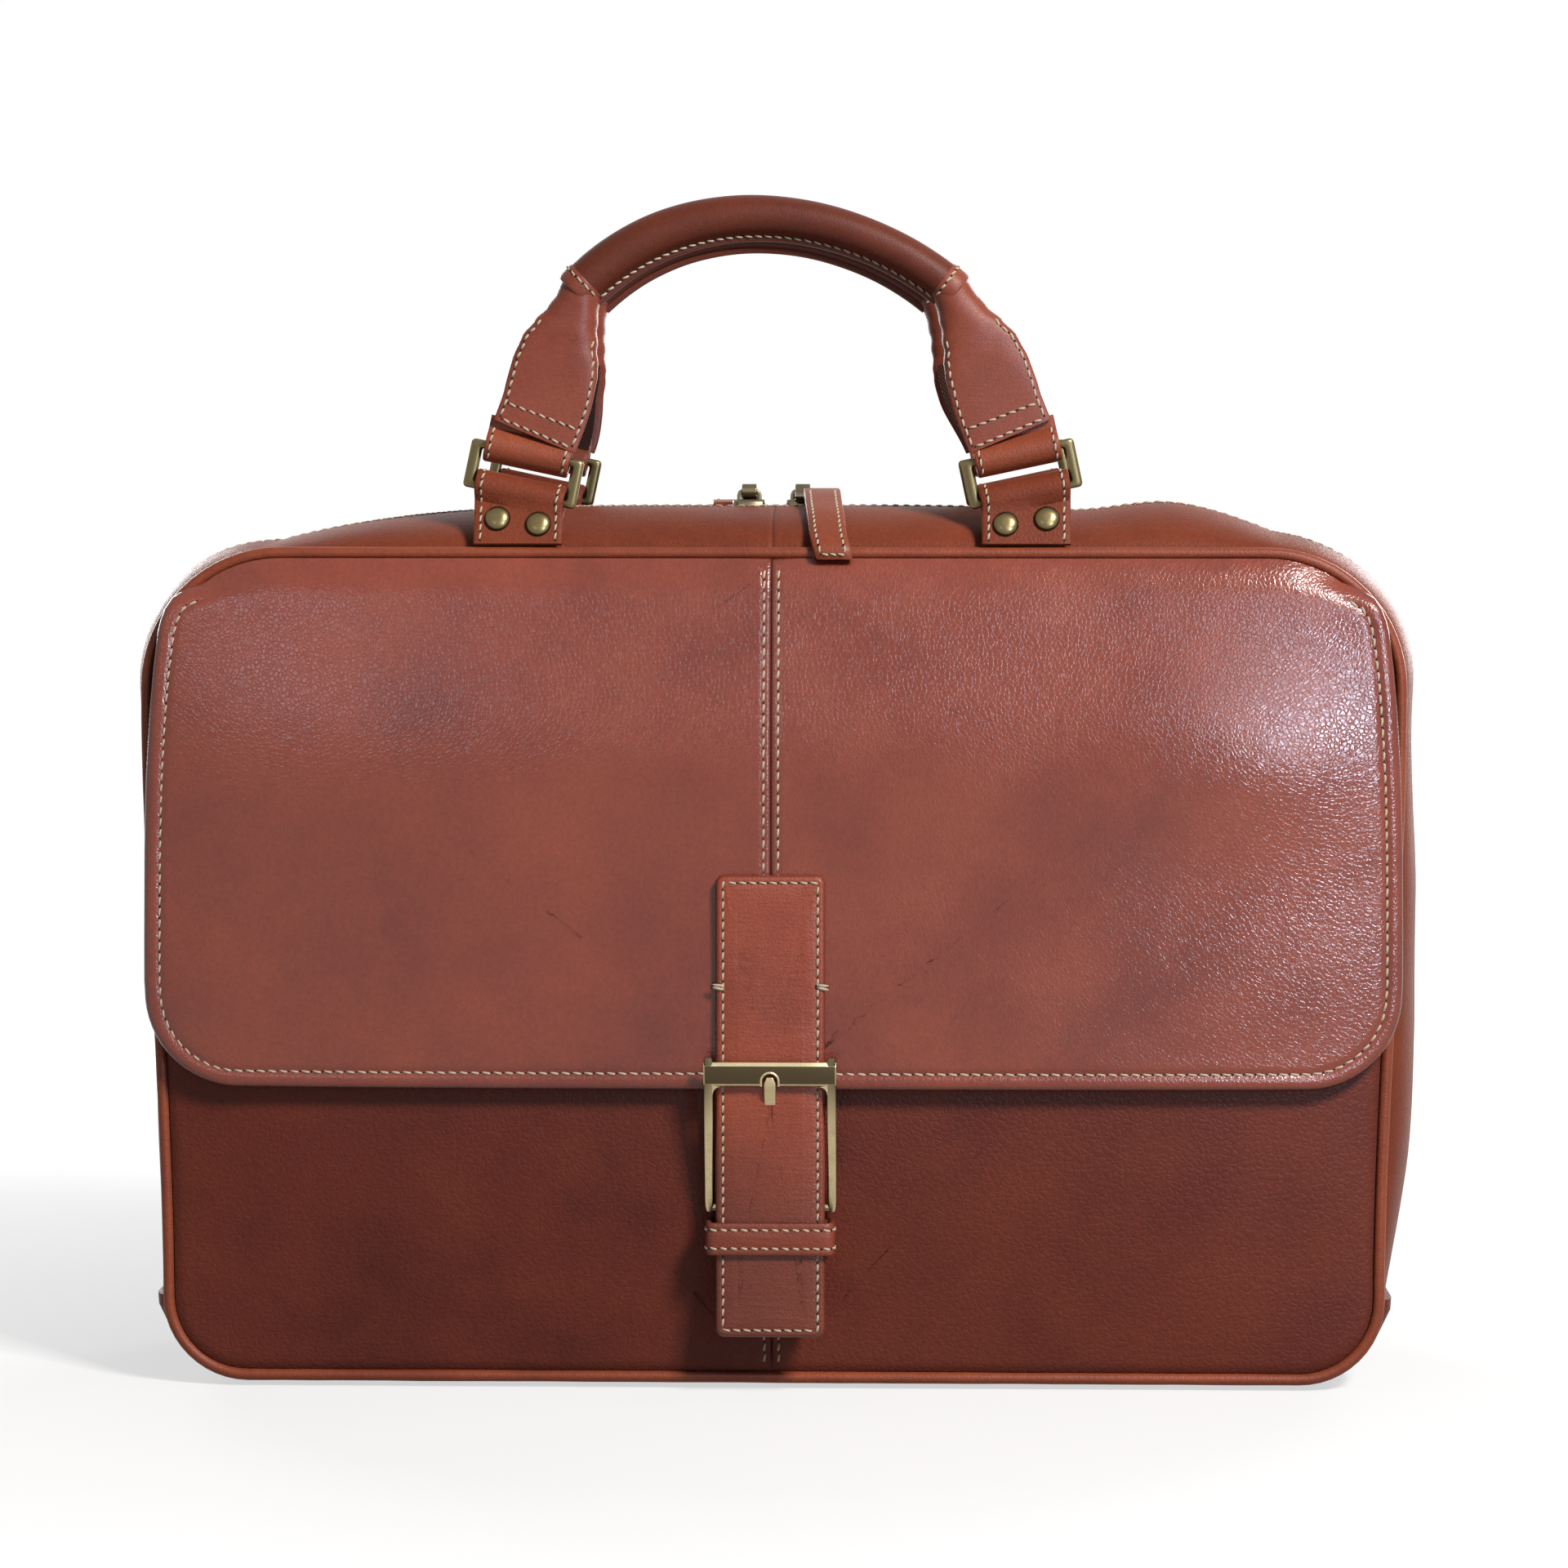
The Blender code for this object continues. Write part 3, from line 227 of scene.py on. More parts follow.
def loft_into(mesh, rings, loop=False):
    """Adds a closed solid through rings to a mesh that may hold others."""
    rows = [[mesh.verts.new(point) for point in ring] for ring in rings]
    pairs = list(zip(rows, rows[1:]))
    made = []
    if loop:
        pairs.append((rows[-1], rows[0]))
    else:
        made.append(mesh.faces.new(rows[0]))
        made.append(mesh.faces.new(rows[-1]))
    for low, high in pairs:
        for k in range(len(low)):
            n = (k + 1) % len(low)
            made.append(mesh.faces.new((low[k], low[n], high[n], high[k])))
    bmesh.ops.recalc_face_normals(mesh, faces=made)
    return mesh


def loft(rings, loop=False):
    return loft_into(bmesh.new(), rings, loop)


def arc(centre, radius, start, end, steps):
    """Points on an arc, with angles in degrees."""
    angles = [math.radians(lerp(start, end, k / steps)) for k in range(steps + 1)]
    return [(centre[0] + radius * math.cos(a), centre[1] + radius * math.sin(a)) for a in angles]


# %% Stored values, bodies and ripples
def paint_list(piece, values):
    """Stores how dark each vertex is in the layer that all finishes read."""
    layer = piece.data.attributes.new("rim", "FLOAT", "POINT")
    layer.data.foreach_set("value", values)


def paint(piece, value_at):
    paint_list(piece, [value_at(v.co) for v in piece.data.vertices])


def settle(piece, body, slot, *nodes):
    """Rides a piece on a body, and names its slot and the frame's nodes that it stands for."""
    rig.ride(piece, body)
    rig.slot(piece, slot)
    if nodes:
        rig.replaces(piece, *nodes)


def ripple(point, size, seed):
    """Smooth wandering height, about -1 to 1, with bumps of a given size."""
    return noise.noise(Vector(point) / size + Vector((seed, 2.3 * seed, -seed)))


# %% [markdown]
# ## Finishes
#
# Waxed leather is never one colour. Dye soaks in unevenly, so clouds of deeper and fairer tan drift over
# each panel, with warm patches and fine flecks on top, and the skin keeps a pebbled grain. All of that
# could be painted, but a node group does it at true scale on any piece, in the piece's own rest
# coordinates. Each leather then places the group with its own colours and grain. A value stored on the
# mesh, its rim, darkens edges and the keeper band. It also holds painted shade: the strap is painted darker
# towards its lower end, and on the stitches it darkens the dimples that stand for the shade of needle holes.

# %% Node helpers
def srgb(red, green, blue):
    """A colour from the 0 to 255 values that a picture editor shows."""
    shares = [c / 255 for c in (red, green, blue)]
    return tuple(c / 12.92 if c <= 0.04045 else ((c + 0.055) / 1.055) ** 2.4 for c in shares) + (1.0,)


def node(tree, kind, values=None, **settings):
    """A shader node: a value that is a socket is linked, any other is set."""
    made = tree.nodes.new(kind)
    for name, value in settings.items():
        setattr(made, name, value)
    for socket, value in (values or {}).items():
        if isinstance(value, bpy.types.NodeSocket):
            tree.links.new(value, made.inputs[socket])
        else:
            made.inputs[socket].default_value = value
    return made


def mix(tree, share, first, second, blend="MIX"):
    """Mixes two colours, and returns the result's socket."""
    made = node(tree, "ShaderNodeMix", {0: share, 6: first, 7: second}, data_type="RGBA", blend_type=blend)
    return made.outputs[2]


def maths(tree, operation, first, second):
    made = node(tree, "ShaderNodeMath", {0: first, 1: second}, operation=operation)
    return made.outputs[0]


def spread(tree, value, low, high, start=0.0, end=1.0):
    """Stretches a range of values over another one, and holds it there."""
    values = {"Value": value, "From Min": low, "From Max": high, "To Min": start, "To Max": end}
    return node(tree, "ShaderNodeMapRange", values).outputs[0]


def clouds(tree, where, scale, detail=5.0, roughness=0.6):
    values = {"Vector": where, "Scale": scale, "Detail": detail, "Roughness": roughness}
    return node(tree, "ShaderNodeTexNoise", values).outputs["Fac"]


def new_group(name, inputs, outputs):
    """An empty shader group with named sockets."""
    tree = bpy.data.node_groups.new(name, "ShaderNodeTree")
    for label, kind in inputs:
        tree.interface.new_socket(label, in_out="INPUT", socket_type=kind)
    for label, kind in outputs:
        tree.interface.new_socket(label, in_out="OUTPUT", socket_type=kind)
    return tree, tree.nodes.new("NodeGroupInput").outputs, tree.nodes.new("NodeGroupOutput").inputs


COLOUR, VALUE, VECTOR = "NodeSocketColor", "NodeSocketFloat", "NodeSocketVector"


# %% Leather group
def make_leather_group():
    inputs = [("Where", VECTOR), ("Deep", COLOUR), ("Fair", COLOUR), ("Warm", COLOUR), ("BurntAndShade", COLOUR)]
    inputs += [("Grain", VALUE), ("Creases", VALUE), ("Dull", VALUE), ("Rim", VALUE)]
    outputs = [("Colour", COLOUR), ("Roughness", VALUE), ("Height", VALUE)]
    tree, given, out = new_group("waxed_leather", inputs, outputs)
    where = given["Where"]
    drift = spread(tree, clouds(tree, where, 10, 6), 0.34, 0.66)
    patches = spread(tree, clouds(tree, where, 42, 7), 0.35, 0.75)
    flecks = clouds(tree, where, 650, 3)
    tone = mix(tree, drift, given["Deep"], given["Fair"])
    tone = mix(tree, maths(tree, "MULTIPLY", patches, 0.5), tone, given["Warm"])
    fleck = {k: spread(tree, flecks, 0.3, 0.7, 0.88, 1.1) for k in range(3)}
    shade = node(tree, "ShaderNodeCombineColor", fleck)
    tone = mix(tree, 1.0, tone, shade.outputs[0], "MULTIPLY")
    # The rim darkens burnished edges towards this colour, and on the strap it also paints shade.
    tone = mix(tree, given["Rim"], tone, given["BurntAndShade"])
    wobble = node(tree, "ShaderNodeTexNoise", {"Vector": where, "Scale": 300.0, "Detail": 2.0})
    values = {0: wobble.outputs["Color"], 1: (0.0016,) * 3}
    bent = node(tree, "ShaderNodeVectorMath", values, operation="MULTIPLY")
    moved = node(tree, "ShaderNodeVectorMath", {0: where, 1: bent.outputs[0]}, operation="ADD").outputs[0]
    values = {"Vector": moved, "Scale": given["Grain"]}
    cells = node(tree, "ShaderNodeTexVoronoi", values, feature="DISTANCE_TO_EDGE").outputs["Distance"]
    pebble = spread(tree, cells, 0.0, 0.22)
    pores = clouds(tree, where, 2100, 2)
    values = {0: moved, 1: (45.0, 120.0, 430.0)}
    long_way = node(tree, "ShaderNodeVectorMath", values, operation="MULTIPLY")
    folds = clouds(tree, long_way.outputs[0], 1.0, 3)
    ridges = maths(tree, "ABSOLUTE", maths(tree, "SUBTRACT", folds, 0.5), 0.0)
    height = maths(tree, "ADD", maths(tree, "MULTIPLY", pebble, 0.5), maths(tree, "MULTIPLY", pores, 0.35))
    creased = maths(tree, "MULTIPLY", ridges, maths(tree, "MULTIPLY", given["Creases"], 5.0))
    tree.links.new(tone, out["Colour"])
    patchy = spread(tree, patches, 0.0, 1.0, 0.0, 0.08)
    rough = maths(tree, "ADD", patchy, spread(tree, pebble, 0.0, 1.0, 0.06, 0.0))
    tree.links.new(maths(tree, "ADD", rough, given["Dull"]), out["Roughness"])
    tree.links.new(maths(tree, "ADD", height, creased), out["Height"])
    return tree


LEATHER_GROUP = make_leather_group()


# %% Leathers
def group_material(name, look, values, relief, depth):
    """A material around a group, whose sockets are filled and whose height becomes a bump. Its shader comes
    back too, because constants go to the shader's own sockets."""
    made = bpy.data.materials.new(name)
    made.use_nodes = True
    tree = made.node_tree
    shader = tree.nodes["Principled BSDF"]
    where = node(tree, "ShaderNodeTexCoord").outputs["Object"]
    rim = node(tree, "ShaderNodeAttribute", attribute_name="rim").outputs["Fac"]
    group = node(tree, "ShaderNodeGroup", {"Where": where, "Rim": rim, **values}, node_tree=look)
    values = {"Height": group.outputs["Height"], "Strength": relief, "Distance": depth}
    bump = node(tree, "ShaderNodeBump", values)
    tree.links.new(bump.outputs[0], shader.inputs["Normal"])
    tree.links.new(group.outputs["Colour"], shader.inputs["Base Color"])
    if "Roughness" in group.outputs:
        tree.links.new(group.outputs["Roughness"], shader.inputs["Roughness"])
    return made, shader


def leather(name, tans, grain, creases, relief, dull, shine):
    """A leather: three tans, the grain's cells to a metre, creases from 0 to 1, the grain's relief, how
    dull its wax is and how much of it there is."""
    deep, fair, warm = (srgb(*tan) for tan in tans)
    values = {"Deep": deep, "Fair": fair, "Warm": warm, "BurntAndShade": srgb(56, 24, 17)}
    values.update({"Grain": grain, "Creases": creases, "Dull": dull})
    made, shader = group_material(name, LEATHER_GROUP, values, relief, 0.4 * MM)
    shader.inputs["Specular IOR Level"].default_value = shine
    return made


FLAP_TANS = ((106, 43, 31), (128, 56, 39), (138, 63, 39))
POCKET_TANS = ((79, 33, 25), (98, 43, 32), (107, 49, 31))
GUSSET_TANS = ((94, 42, 27), (114, 53, 34), (124, 60, 36))
EDGE_TANS = ((108, 48, 29), (131, 62, 38), (142, 70, 41))
HANDLE_TANS = ((102, 46, 32), (125, 58, 40), (134, 65, 40))
STRAP_TANS = ((120, 51, 33), (145, 65, 42), (153, 72, 42))
GRIP_TANS = ((76, 33, 22), (93, 42, 28), (102, 47, 28))
FLAP_LEATHER = leather("flap_leather", FLAP_TANS, 700, 0.0, 0.2, 0.15, 0.42)
POCKET_LEATHER = leather("pocket_leather", POCKET_TANS, 480, 0.1, 0.4, 0.4, 0.12)
TAN_LEATHER = leather("tan_leather", GUSSET_TANS, 620, 0.15, 0.3, 0.42, 0.09)
EDGE_LEATHER = leather("edge_leather", EDGE_TANS, 700, 0.0, 0.2, 0.36, 0.2)
HANDLE_LEATHER = leather("handle_leather", HANDLE_TANS, 900, 0.5, 0.14, 0.36, 0.25)
STRAP_LEATHER = leather("strap_leather", STRAP_TANS, 760, 0.8, 0.22, 0.33, 0.3)
GRIP_LEATHER = leather("grip_leather", GRIP_TANS, 900, 0.2, 0.16, 0.38, 0.14)
print("leathers:", [m.name for m in bpy.data.materials if m.name.endswith("leather")])

# %% [markdown]
# The fittings are antiqued brass: an olive gold that is dark wherever hands and cloth don't rub it. The
# bright and the dark share one group, in which a wear mask from slow noise and the value painted on each
# piece choose between them; on the buckle that value is painted reflection and shade. Thread, webbing and
# zip tape are textile, so each gets its twist or weave from wave textures.

# %% Brass
def make_brass_group():
    inputs = [("Where", VECTOR), ("Bright", COLOUR), ("Dark", COLOUR), ("Rim", VALUE)]
    outputs = [("Colour", COLOUR), ("Roughness", VALUE), ("Height", VALUE)]
    tree, given, out = new_group("antique_brass", inputs, outputs)
    where = given["Where"]
    darkening = spread(tree, clouds(tree, where, 160, 6, 0.7), 0.36, 0.62)
    specks = spread(tree, clouds(tree, where, 1500, 3), 0.45, 0.7)
    # The rim is each piece's painted value; on the buckle it is painted reflection and shade.
    dark = maths(tree, "MAXIMUM", maths(tree, "MULTIPLY", darkening, 0.32), given["Rim"])
    dark = maths(tree, "MAXIMUM", dark, maths(tree, "MULTIPLY", specks, 0.36))
    tree.links.new(mix(tree, dark, given["Bright"], given["Dark"]), out["Colour"])
    tree.links.new(spread(tree, dark, 0.0, 1.0, 0.26, 0.5), out["Roughness"])
    tree.links.new(clouds(tree, where, 900, 4), out["Height"])
    return tree


BRASS_GROUP = make_brass_group()


def brass(name, bright, dark):
    values = {"Bright": srgb(*bright), "Dark": srgb(*dark)}
    made, shader = group_material(name, BRASS_GROUP, values, 0.08, 0.2 * MM)
    shader.inputs["Metallic"].default_value = 1.0
    return made


# %% Thread and textile
def make_weave_group():
    inputs = [("Where", VECTOR), ("First", VECTOR), ("Second", VECTOR)]
    inputs += [("Dark", COLOUR), ("Light", COLOUR), ("Rim", VALUE)]
    tree, given, out = new_group("woven", inputs, [("Colour", COLOUR), ("Height", VALUE)])
    heights = []
    for scale in ("First", "Second"):
        values = {0: given["Where"], 1: given[scale]}
        grown = node(tree, "ShaderNodeVectorMath", values, operation="MULTIPLY").outputs[0]
        values = {"Vector": grown, "Scale": 1.0, "Distortion": 0.3, "Detail": 1.0}
        heights.append(node(tree, "ShaderNodeTexWave", values, bands_direction="DIAGONAL").outputs["Fac"])
    weave = maths(tree, "MULTIPLY", heights[0], heights[1])
    fuzz = clouds(tree, given["Where"], 1800, 3)
    share = maths(tree, "ADD", maths(tree, "MULTIPLY", weave, 0.7), maths(tree, "MULTIPLY", fuzz, 0.3))
    cloth = mix(tree, share, given["Dark"], given["Light"])
    # The rim mixes in a dark brown; on stitches it paints the shade of the needle holes.
    tree.links.new(mix(tree, given["Rim"], cloth, srgb(46, 20, 13)), out["Colour"])
    tree.links.new(share, out["Height"])
    return tree


WEAVE_GROUP = make_weave_group()


def textile(name, dark, light, scales, relief):
    """Woven cloth: two waves across each other, with their counts to a metre along x, y and z."""
    values = {"First": scales[0], "Second": scales[1], "Dark": srgb(*dark), "Light": srgb(*light)}
    made, shader = group_material(name, WEAVE_GROUP, values, relief, 0.3 * MM)
    for socket, value in (("Roughness", 0.8), ("Sheen Weight", 0.04), ("Specular IOR Level", 0.15)):
        shader.inputs[socket].default_value = value
    return made


def crossed(count):
    """Scales of a weave that is alike in all directions."""
    return (count, count, count), (count, -count, -count)


BRASS = brass("antique_brass", (196, 178, 138), (58, 48, 32))
DARK_BRASS = brass("dark_brass", (120, 108, 84), (40, 34, 26))
RING_BRASS = brass("ring_brass", (118, 103, 70), (42, 36, 25))
TWIST = ((2600, 2600, 900), (900, 2600, 2600))
WEBBING = textile("brown_webbing", (34, 17, 11), (80, 46, 30), crossed(480), 1.0)
ZIP_TAPE = textile("zip_tape", (52, 30, 20), (104, 62, 40), crossed(1500), 0.6)
THREAD = textile("cream_thread", (164, 148, 124), (220, 209, 188), TWIST, 0.4)
LINING = textile("woven_lining", (120, 98, 72), (158, 134, 102), ((900, 900, 0), (0, 900, 900)), 0.4)
BOARD = textile("fibre_board", (118, 100, 76), (142, 122, 94), ((220, 340, 300), (330, 210, 280)), 0.3)
print("fittings and textiles:", len(bpy.data.materials), "materials in all")

# %% [markdown]
# ## The panels' outline
#
# Front and back share one cut: a wide panel with round corners, a little narrower at its foot. The
# outline is drawn once, as its right half, and every sewn piece is an inset of it. Drawing it from the
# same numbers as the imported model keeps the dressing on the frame. Only the top corners are rounder
# here, because soft leather draws them in.

# %% Outline
PANEL = {"foot": 3.5 * MM, "foot_half": 198.5 * MM, "foot_corner": 26 * MM}
PANEL.update({"top": 274 * MM, "top_half": 205 * MM, "top_corner": 44 * MM})
LEFT, RIGHT = -1, 1
FRONT, BACK = -1, 1
FOOT_RUN, FOOT_TURN = 30, 12
SIDES = {FRONT: "front", BACK: "back"}
HANDS = {LEFT: "left", RIGHT: "right"}


def panel_half(inset=0.0):
    """Right half of the panel as (x, z), from the middle of its foot to the middle of its top."""
    foot = (PANEL["foot_half"] - PANEL["foot_corner"], PANEL["foot"] + PANEL["foot_corner"])
    head = (PANEL["top_half"] - PANEL["top_corner"], PANEL["top"] - PANEL["top_corner"])
    points = [(foot[0] * k / FOOT_RUN, PANEL["foot"] + inset) for k in range(FOOT_RUN)]
    points += arc(foot, PANEL["foot_corner"] - inset, -90, 0, FOOT_TURN)
    low = points[-1]
    high = (PANEL["top_half"] - inset, head[1])
    for k in range(1, 36):
        points.append((lerp(low[0], high[0], smoothstep(k / 36)), lerp(low[1], high[1], k / 36)))
    points += arc(head, PANEL["top_corner"] - inset, 0, 90, 16)
    points += [(head[0] * (1 - k / 30), PANEL["top"] - inset) for k in range(1, 31)]
    return points


def mirrored(half):
    """A whole outline from its right half."""
    return half + [(-x, z) for x, z in reversed(half[1:-1])]


# %% Halves, normals and insets
def handed(points, hand):
    """Outline and edge kinds of a half panel, from (x, z, kind) points of its right half."""
    if hand == LEFT:
        points = [(-x, z, kind) for x, z, kind in reversed(points)]
    return [(x, z) for x, z, _ in points], [kind for _, _, kind in points]


def normals(points, loop=False):
    """Outward normals of an outline that runs anticlockwise, seen from the front."""
    found = []
    count = len(points)
    for k in range(count):
        before = points[k - 1] if loop or k else points[0]
        after = points[(k + 1) % count] if loop or k < count - 1 else points[k]
        along = Vector((after[0] - before[0], after[1] - before[1])).normalized()
        found.append((along.y, -along.x))
    return found


def inset_loop(points, inset):
    """A closed outline moved inwards, with mitred corners."""
    moved = []
    count = len(points)
    for k, (x, z) in enumerate(points):
        before = Vector(points[k - 1])
        after = Vector(points[(k + 1) % count])
        here = Vector((x, z))
        first = (here - before).normalized()
        second = (after - here).normalized()
        in_first = Vector((-first.y, first.x))
        in_second = Vector((-second.y, second.x))
        mitre = (in_first + in_second) / max(1 + in_first.dot(in_second), 0.4)
        moved.append((x + mitre.x * inset, z + mitre.y * inset))
    return moved


print("panel outline:", len(mirrored(panel_half())), "points")

# %% [markdown]
# ## Panels with worked edges
#
# A cut piece of leather is worked at its edges: turned and rolled where it is free, pressed into the
# seam where it is sewn. A panel here is a stack of rings. The first rings follow the outline closely and
# carry the edge's profile, and the rest shrink towards the middle and carry the swell of the whole
# panel. A grid with displacement would need far more faces for the same crisp edge.

# %% Panel maker
INSETS = [0, 0.4, 0.9, 1.6, 2.4, 3.3, 4.2, 4.8, 5.3, 5.8, 6.6]
SHRINK = [0.985, 0.965, 0.94, 0.905, 0.86, 0.8, 0.73, 0.65, 0.56, 0.46, 0.35, 0.23, 0.11, 0.03]
ROLLED = [(0, -1.3), (0.4, -0.55), (0.9, -0.12), (1.6, 0.14), (2.4, 0.26), (3.3, 0.28), (4.2, 0.1)]
ROLLED += [(4.8, -0.2), (5.3, -0.42), (5.8, -0.3), (6.6, -0.04), (7.8, 0.05), (12, 0)]
SEAMED = [(0, -0.75), (0.4, -0.3), (0.9, -0.08), (1.6, 0), (2.2, -0.26), (2.4, -0.26), (3.3, 0.02), (5, 0)]
PIPED = [(0, -0.9), (0.9, -0.6), (2.4, -0.1), (4.2, 0)]
PROFILES = {"rolled": ROLLED, "seamed": SEAMED, "piped": PIPED, "tucked": [(0, 0), (1, 0)]}


def panel(name, outline, edges, face, out, thickness, material, seed):
    """A leather panel: edges names the kind of each outline point, face(x, z) is its outer face's y."""
    rows = [(inset, inset_loop(outline, inset * MM)) for inset in INSETS]
    last = rows[-1][1]
    middle = Vector((0.0, 0.0))
    for point in last:
        middle += Vector(point) / len(last)
    for share in SHRINK:
        inset = INSETS[-1] + 100 * (1 - share)
        rows.append((inset, [tuple(middle.lerp(Vector(p), share)) for p in last]))

    def outer(inset, row):
        ring = []
        for (x, z), kind in zip(row, edges):
            lift = interpolate(PROFILES[kind], inset)
            if kind in ("rolled", "seamed"):
                near_edge = clamp((10 - inset) / 5) * clamp(inset - 0.5)
                lift += 0.16 * ripple((x, 0.0, z), 9 * MM, seed) * near_edge
            y = face(x, z) + out * lift * MM
            y += out * 0.35 * MM * ripple((x, 0.0, z), 42 * MM, seed + 1) * clamp(inset / 12)
            ring.append((x, y, z))
        return ring

    rings = [outer(inset, row) for inset, row in reversed(rows)]
    back_rows = [rows[0]] + rows[3:11:3] + rows[13:]
    for inset, row in back_rows:
        depth = thickness - 0.5 * MM * clamp(1 - inset / 0.9)
        rings.append([(x, face(x, z) - out * depth, z) for x, z in row])
    piece = new_object(name, loft(rings), material, 50)
    burnt = [0.0] * (len(SHRINK) * len(outline))
    for inset in reversed(INSETS):
        burnt += [0.5 * clamp(1.1 - inset / 1.2) if kind != "tucked" else 0.0 for kind in edges]
    burnt += [0.25] * (len(back_rows) * len(outline))
    paint_list(piece, burnt)
    return piece


print("edge profiles:", ", ".join(PROFILES))

# %% [markdown]
# ## Stitches
#
# Saddle stitches of cream thread run along nearly every edge, and each one is a short slanted lozenge
# that dives into its needle holes. A texture would look flat at grazing light, so every stitch is real
# geometry: five little rings along the seam line, thickest in the middle and sunk at the ends. Before it
# sits a dark dimple, painted shade for its needle hole. All rows of a piece become one object.

# %% Places along a line
def walk(points, spacing, margin=0.0):
    """Places at even spacing along a line of (point, normal), with the line's way and its normal there."""
    lengths = [0.0]
    for (a, _), (b, _) in zip(points, points[1:]):
        lengths.append(lengths[-1] + (Vector(b) - Vector(a)).length)
    usable = lengths[-1] - 2 * margin
    count = max(int(usable / spacing + 0.5), 1)
    step = usable / count
    places = []
    k = 0
    for n in range(count):
        at = margin + step * (n + 0.5)
        while lengths[k + 1] < at:
            k += 1
        (a, na), (b, nb) = points[k], points[k + 1]
        share = (at - lengths[k]) / max(lengths[k + 1] - lengths[k], 1e-9)
        way = (Vector(b) - Vector(a)).normalized()
        normal = Vector(na).lerp(Vector(nb), share).normalized()
        places.append((Vector(a).lerp(Vector(b), share), way, normal))
    return places


# %% Stitch maker
STITCH = [(-0.5, 0.4, -0.3), (-0.27, 0.9, 0.12), (0, 1.0, 0.24), (0.27, 0.9, 0.12), (0.5, 0.4, -0.3)]
HOLE = arc((0, 0), 0.42 * MM, 0, 300, 5)


def stitch_into(mesh, points, pitch=3.7, length=3.2, width=0.4, slant=0.24, margin=1.2):
    """Adds a row of stitches and needle holes along a line of (point, normal); sizes are in millimetres."""
    dark = mesh.verts.layers.float.get("rim") or mesh.verts.layers.float.new("rim")
    for n, (place, way, up) in enumerate(walk(points, pitch * MM, margin * MM)):
        side = way.cross(up).normalized()
        jitter = 0.12 * noise.noise(place * 900 + Vector((n, 0, 0)))
        rings = []
        for along, size, sink in STITCH:
            centre = place + (way * along * length + side * along * (2 * slant + jitter) + up * sink) * MM
            ring = []
            for a in range(6):
                turn = math.radians(60 * a)
                spoke = side * math.cos(turn) * width + up * math.sin(turn) * 0.3
                ring.append(centre + spoke * size * MM)
            rings.append(ring)
        loft_into(mesh, rings)
        # Painted shade: the needle hole is a small cone painted dark through the rim layer.
        hole = place - way * pitch / 2 * MM
        corners = [mesh.verts.new(hole + way * a + side * b) for a, b in HOLE]
        top = mesh.verts.new(hole + up * 0.12 * MM)
        for k, corner in enumerate(corners):
            mesh.faces.new((top, corners[(k + 1) % 6], corner))
        for corner in (top, *corners):
            corner[dark] = 1.0
    return mesh


def stitch_rows(name, rows, material, **sizes):
    """One object from several stitch rows."""
    mesh = bmesh.new()
    for row in rows:
        stitch_into(mesh, row, **sizes)
    return new_object(name, mesh, material, 60)


def on_face(points, face, out):
    """Gives (x, z) points their place on a face and the face's normal there."""
    found = []
    for x, z in points:
        step = 0.5 * MM
        slope_x = (face(x + step, z) - face(x - step, z)) / (2 * step)
        slope_z = (face(x, z + step) - face(x, z - step)) / (2 * step)
        normal = Vector((-slope_x, 1.0, -slope_z)).normalized() * out
        found.append((Vector((x, face(x, z), z)), normal))
    return found


def sunk(line, face, out, depth):
    """A stitch line of (x, z) points, sunk into a face by some tenths of a millimetre."""
    return [(p - n * depth * MM, n) for p, n in on_face(line, face, out)]


# %% [markdown]
# ## The zip gusset, bottom and piping
#
# A strip of leather in two halves crowns the bag from side seam to side seam, highest over the top,
# tight at the corners. It is lofted along the outline: each station is a quarter ellipse from piping to
# zip, with a turned edge along the zip. The crown changes from station to station, which a bevelled
# curve can't do.

# %% Crowned strip
GUSSET_Y = 47.9 * MM
GUSSET_SPAN = 41.9 * MM
ZIP_HALF = 6 * MM
ZIP_SEAM = 9.2 * MM
CROWN = {"top": 15 * MM, "side": 10 * MM, "corner": 3.4 * MM, "foot": 3.5 * MM}


def crown_at(distance, corner, end):
    """How far the strip swells past the piping, by the distance from the middle of the top."""
    if distance < corner:
        return lerp(CROWN["corner"], CROWN["top"], 1 - (distance / corner) ** 4)
    t = (distance - corner) / (end - corner)
    belly = (CROWN["side"] - CROWN["corner"]) * (1 - (2 * t - 1) ** 4)
    return lerp(CROWN["corner"], CROWN["foot"], t) + belly


def crown_path():
    """Stations from the right side seam over the top to the left: (place, normal, crown)."""
    half = panel_half()[FOOT_RUN + FOOT_TURN:]
    near_middle = [(x * MM, PANEL["top"]) for x in (2.6, 1.4, 0.7, 0.3)]
    half = half[:-1] + near_middle + half[-1:]
    lengths = [math.dist(a, b) for a, b in zip(half, half[1:])]
    from_top = [sum(lengths[k:]) for k in range(len(half))]
    corner = PANEL["top_half"] - PANEL["top_corner"] + 5 * MM
    crowns = [crown_at(distance, corner, from_top[0]) for distance in from_top]
    path = half + [(-x, z) for x, z in reversed(half[:-1])]
    crowns += crowns[-2::-1]
    return [(at, normal, crown + slack(*at)) for at, normal, crown in zip(path, normals(path), crowns)]


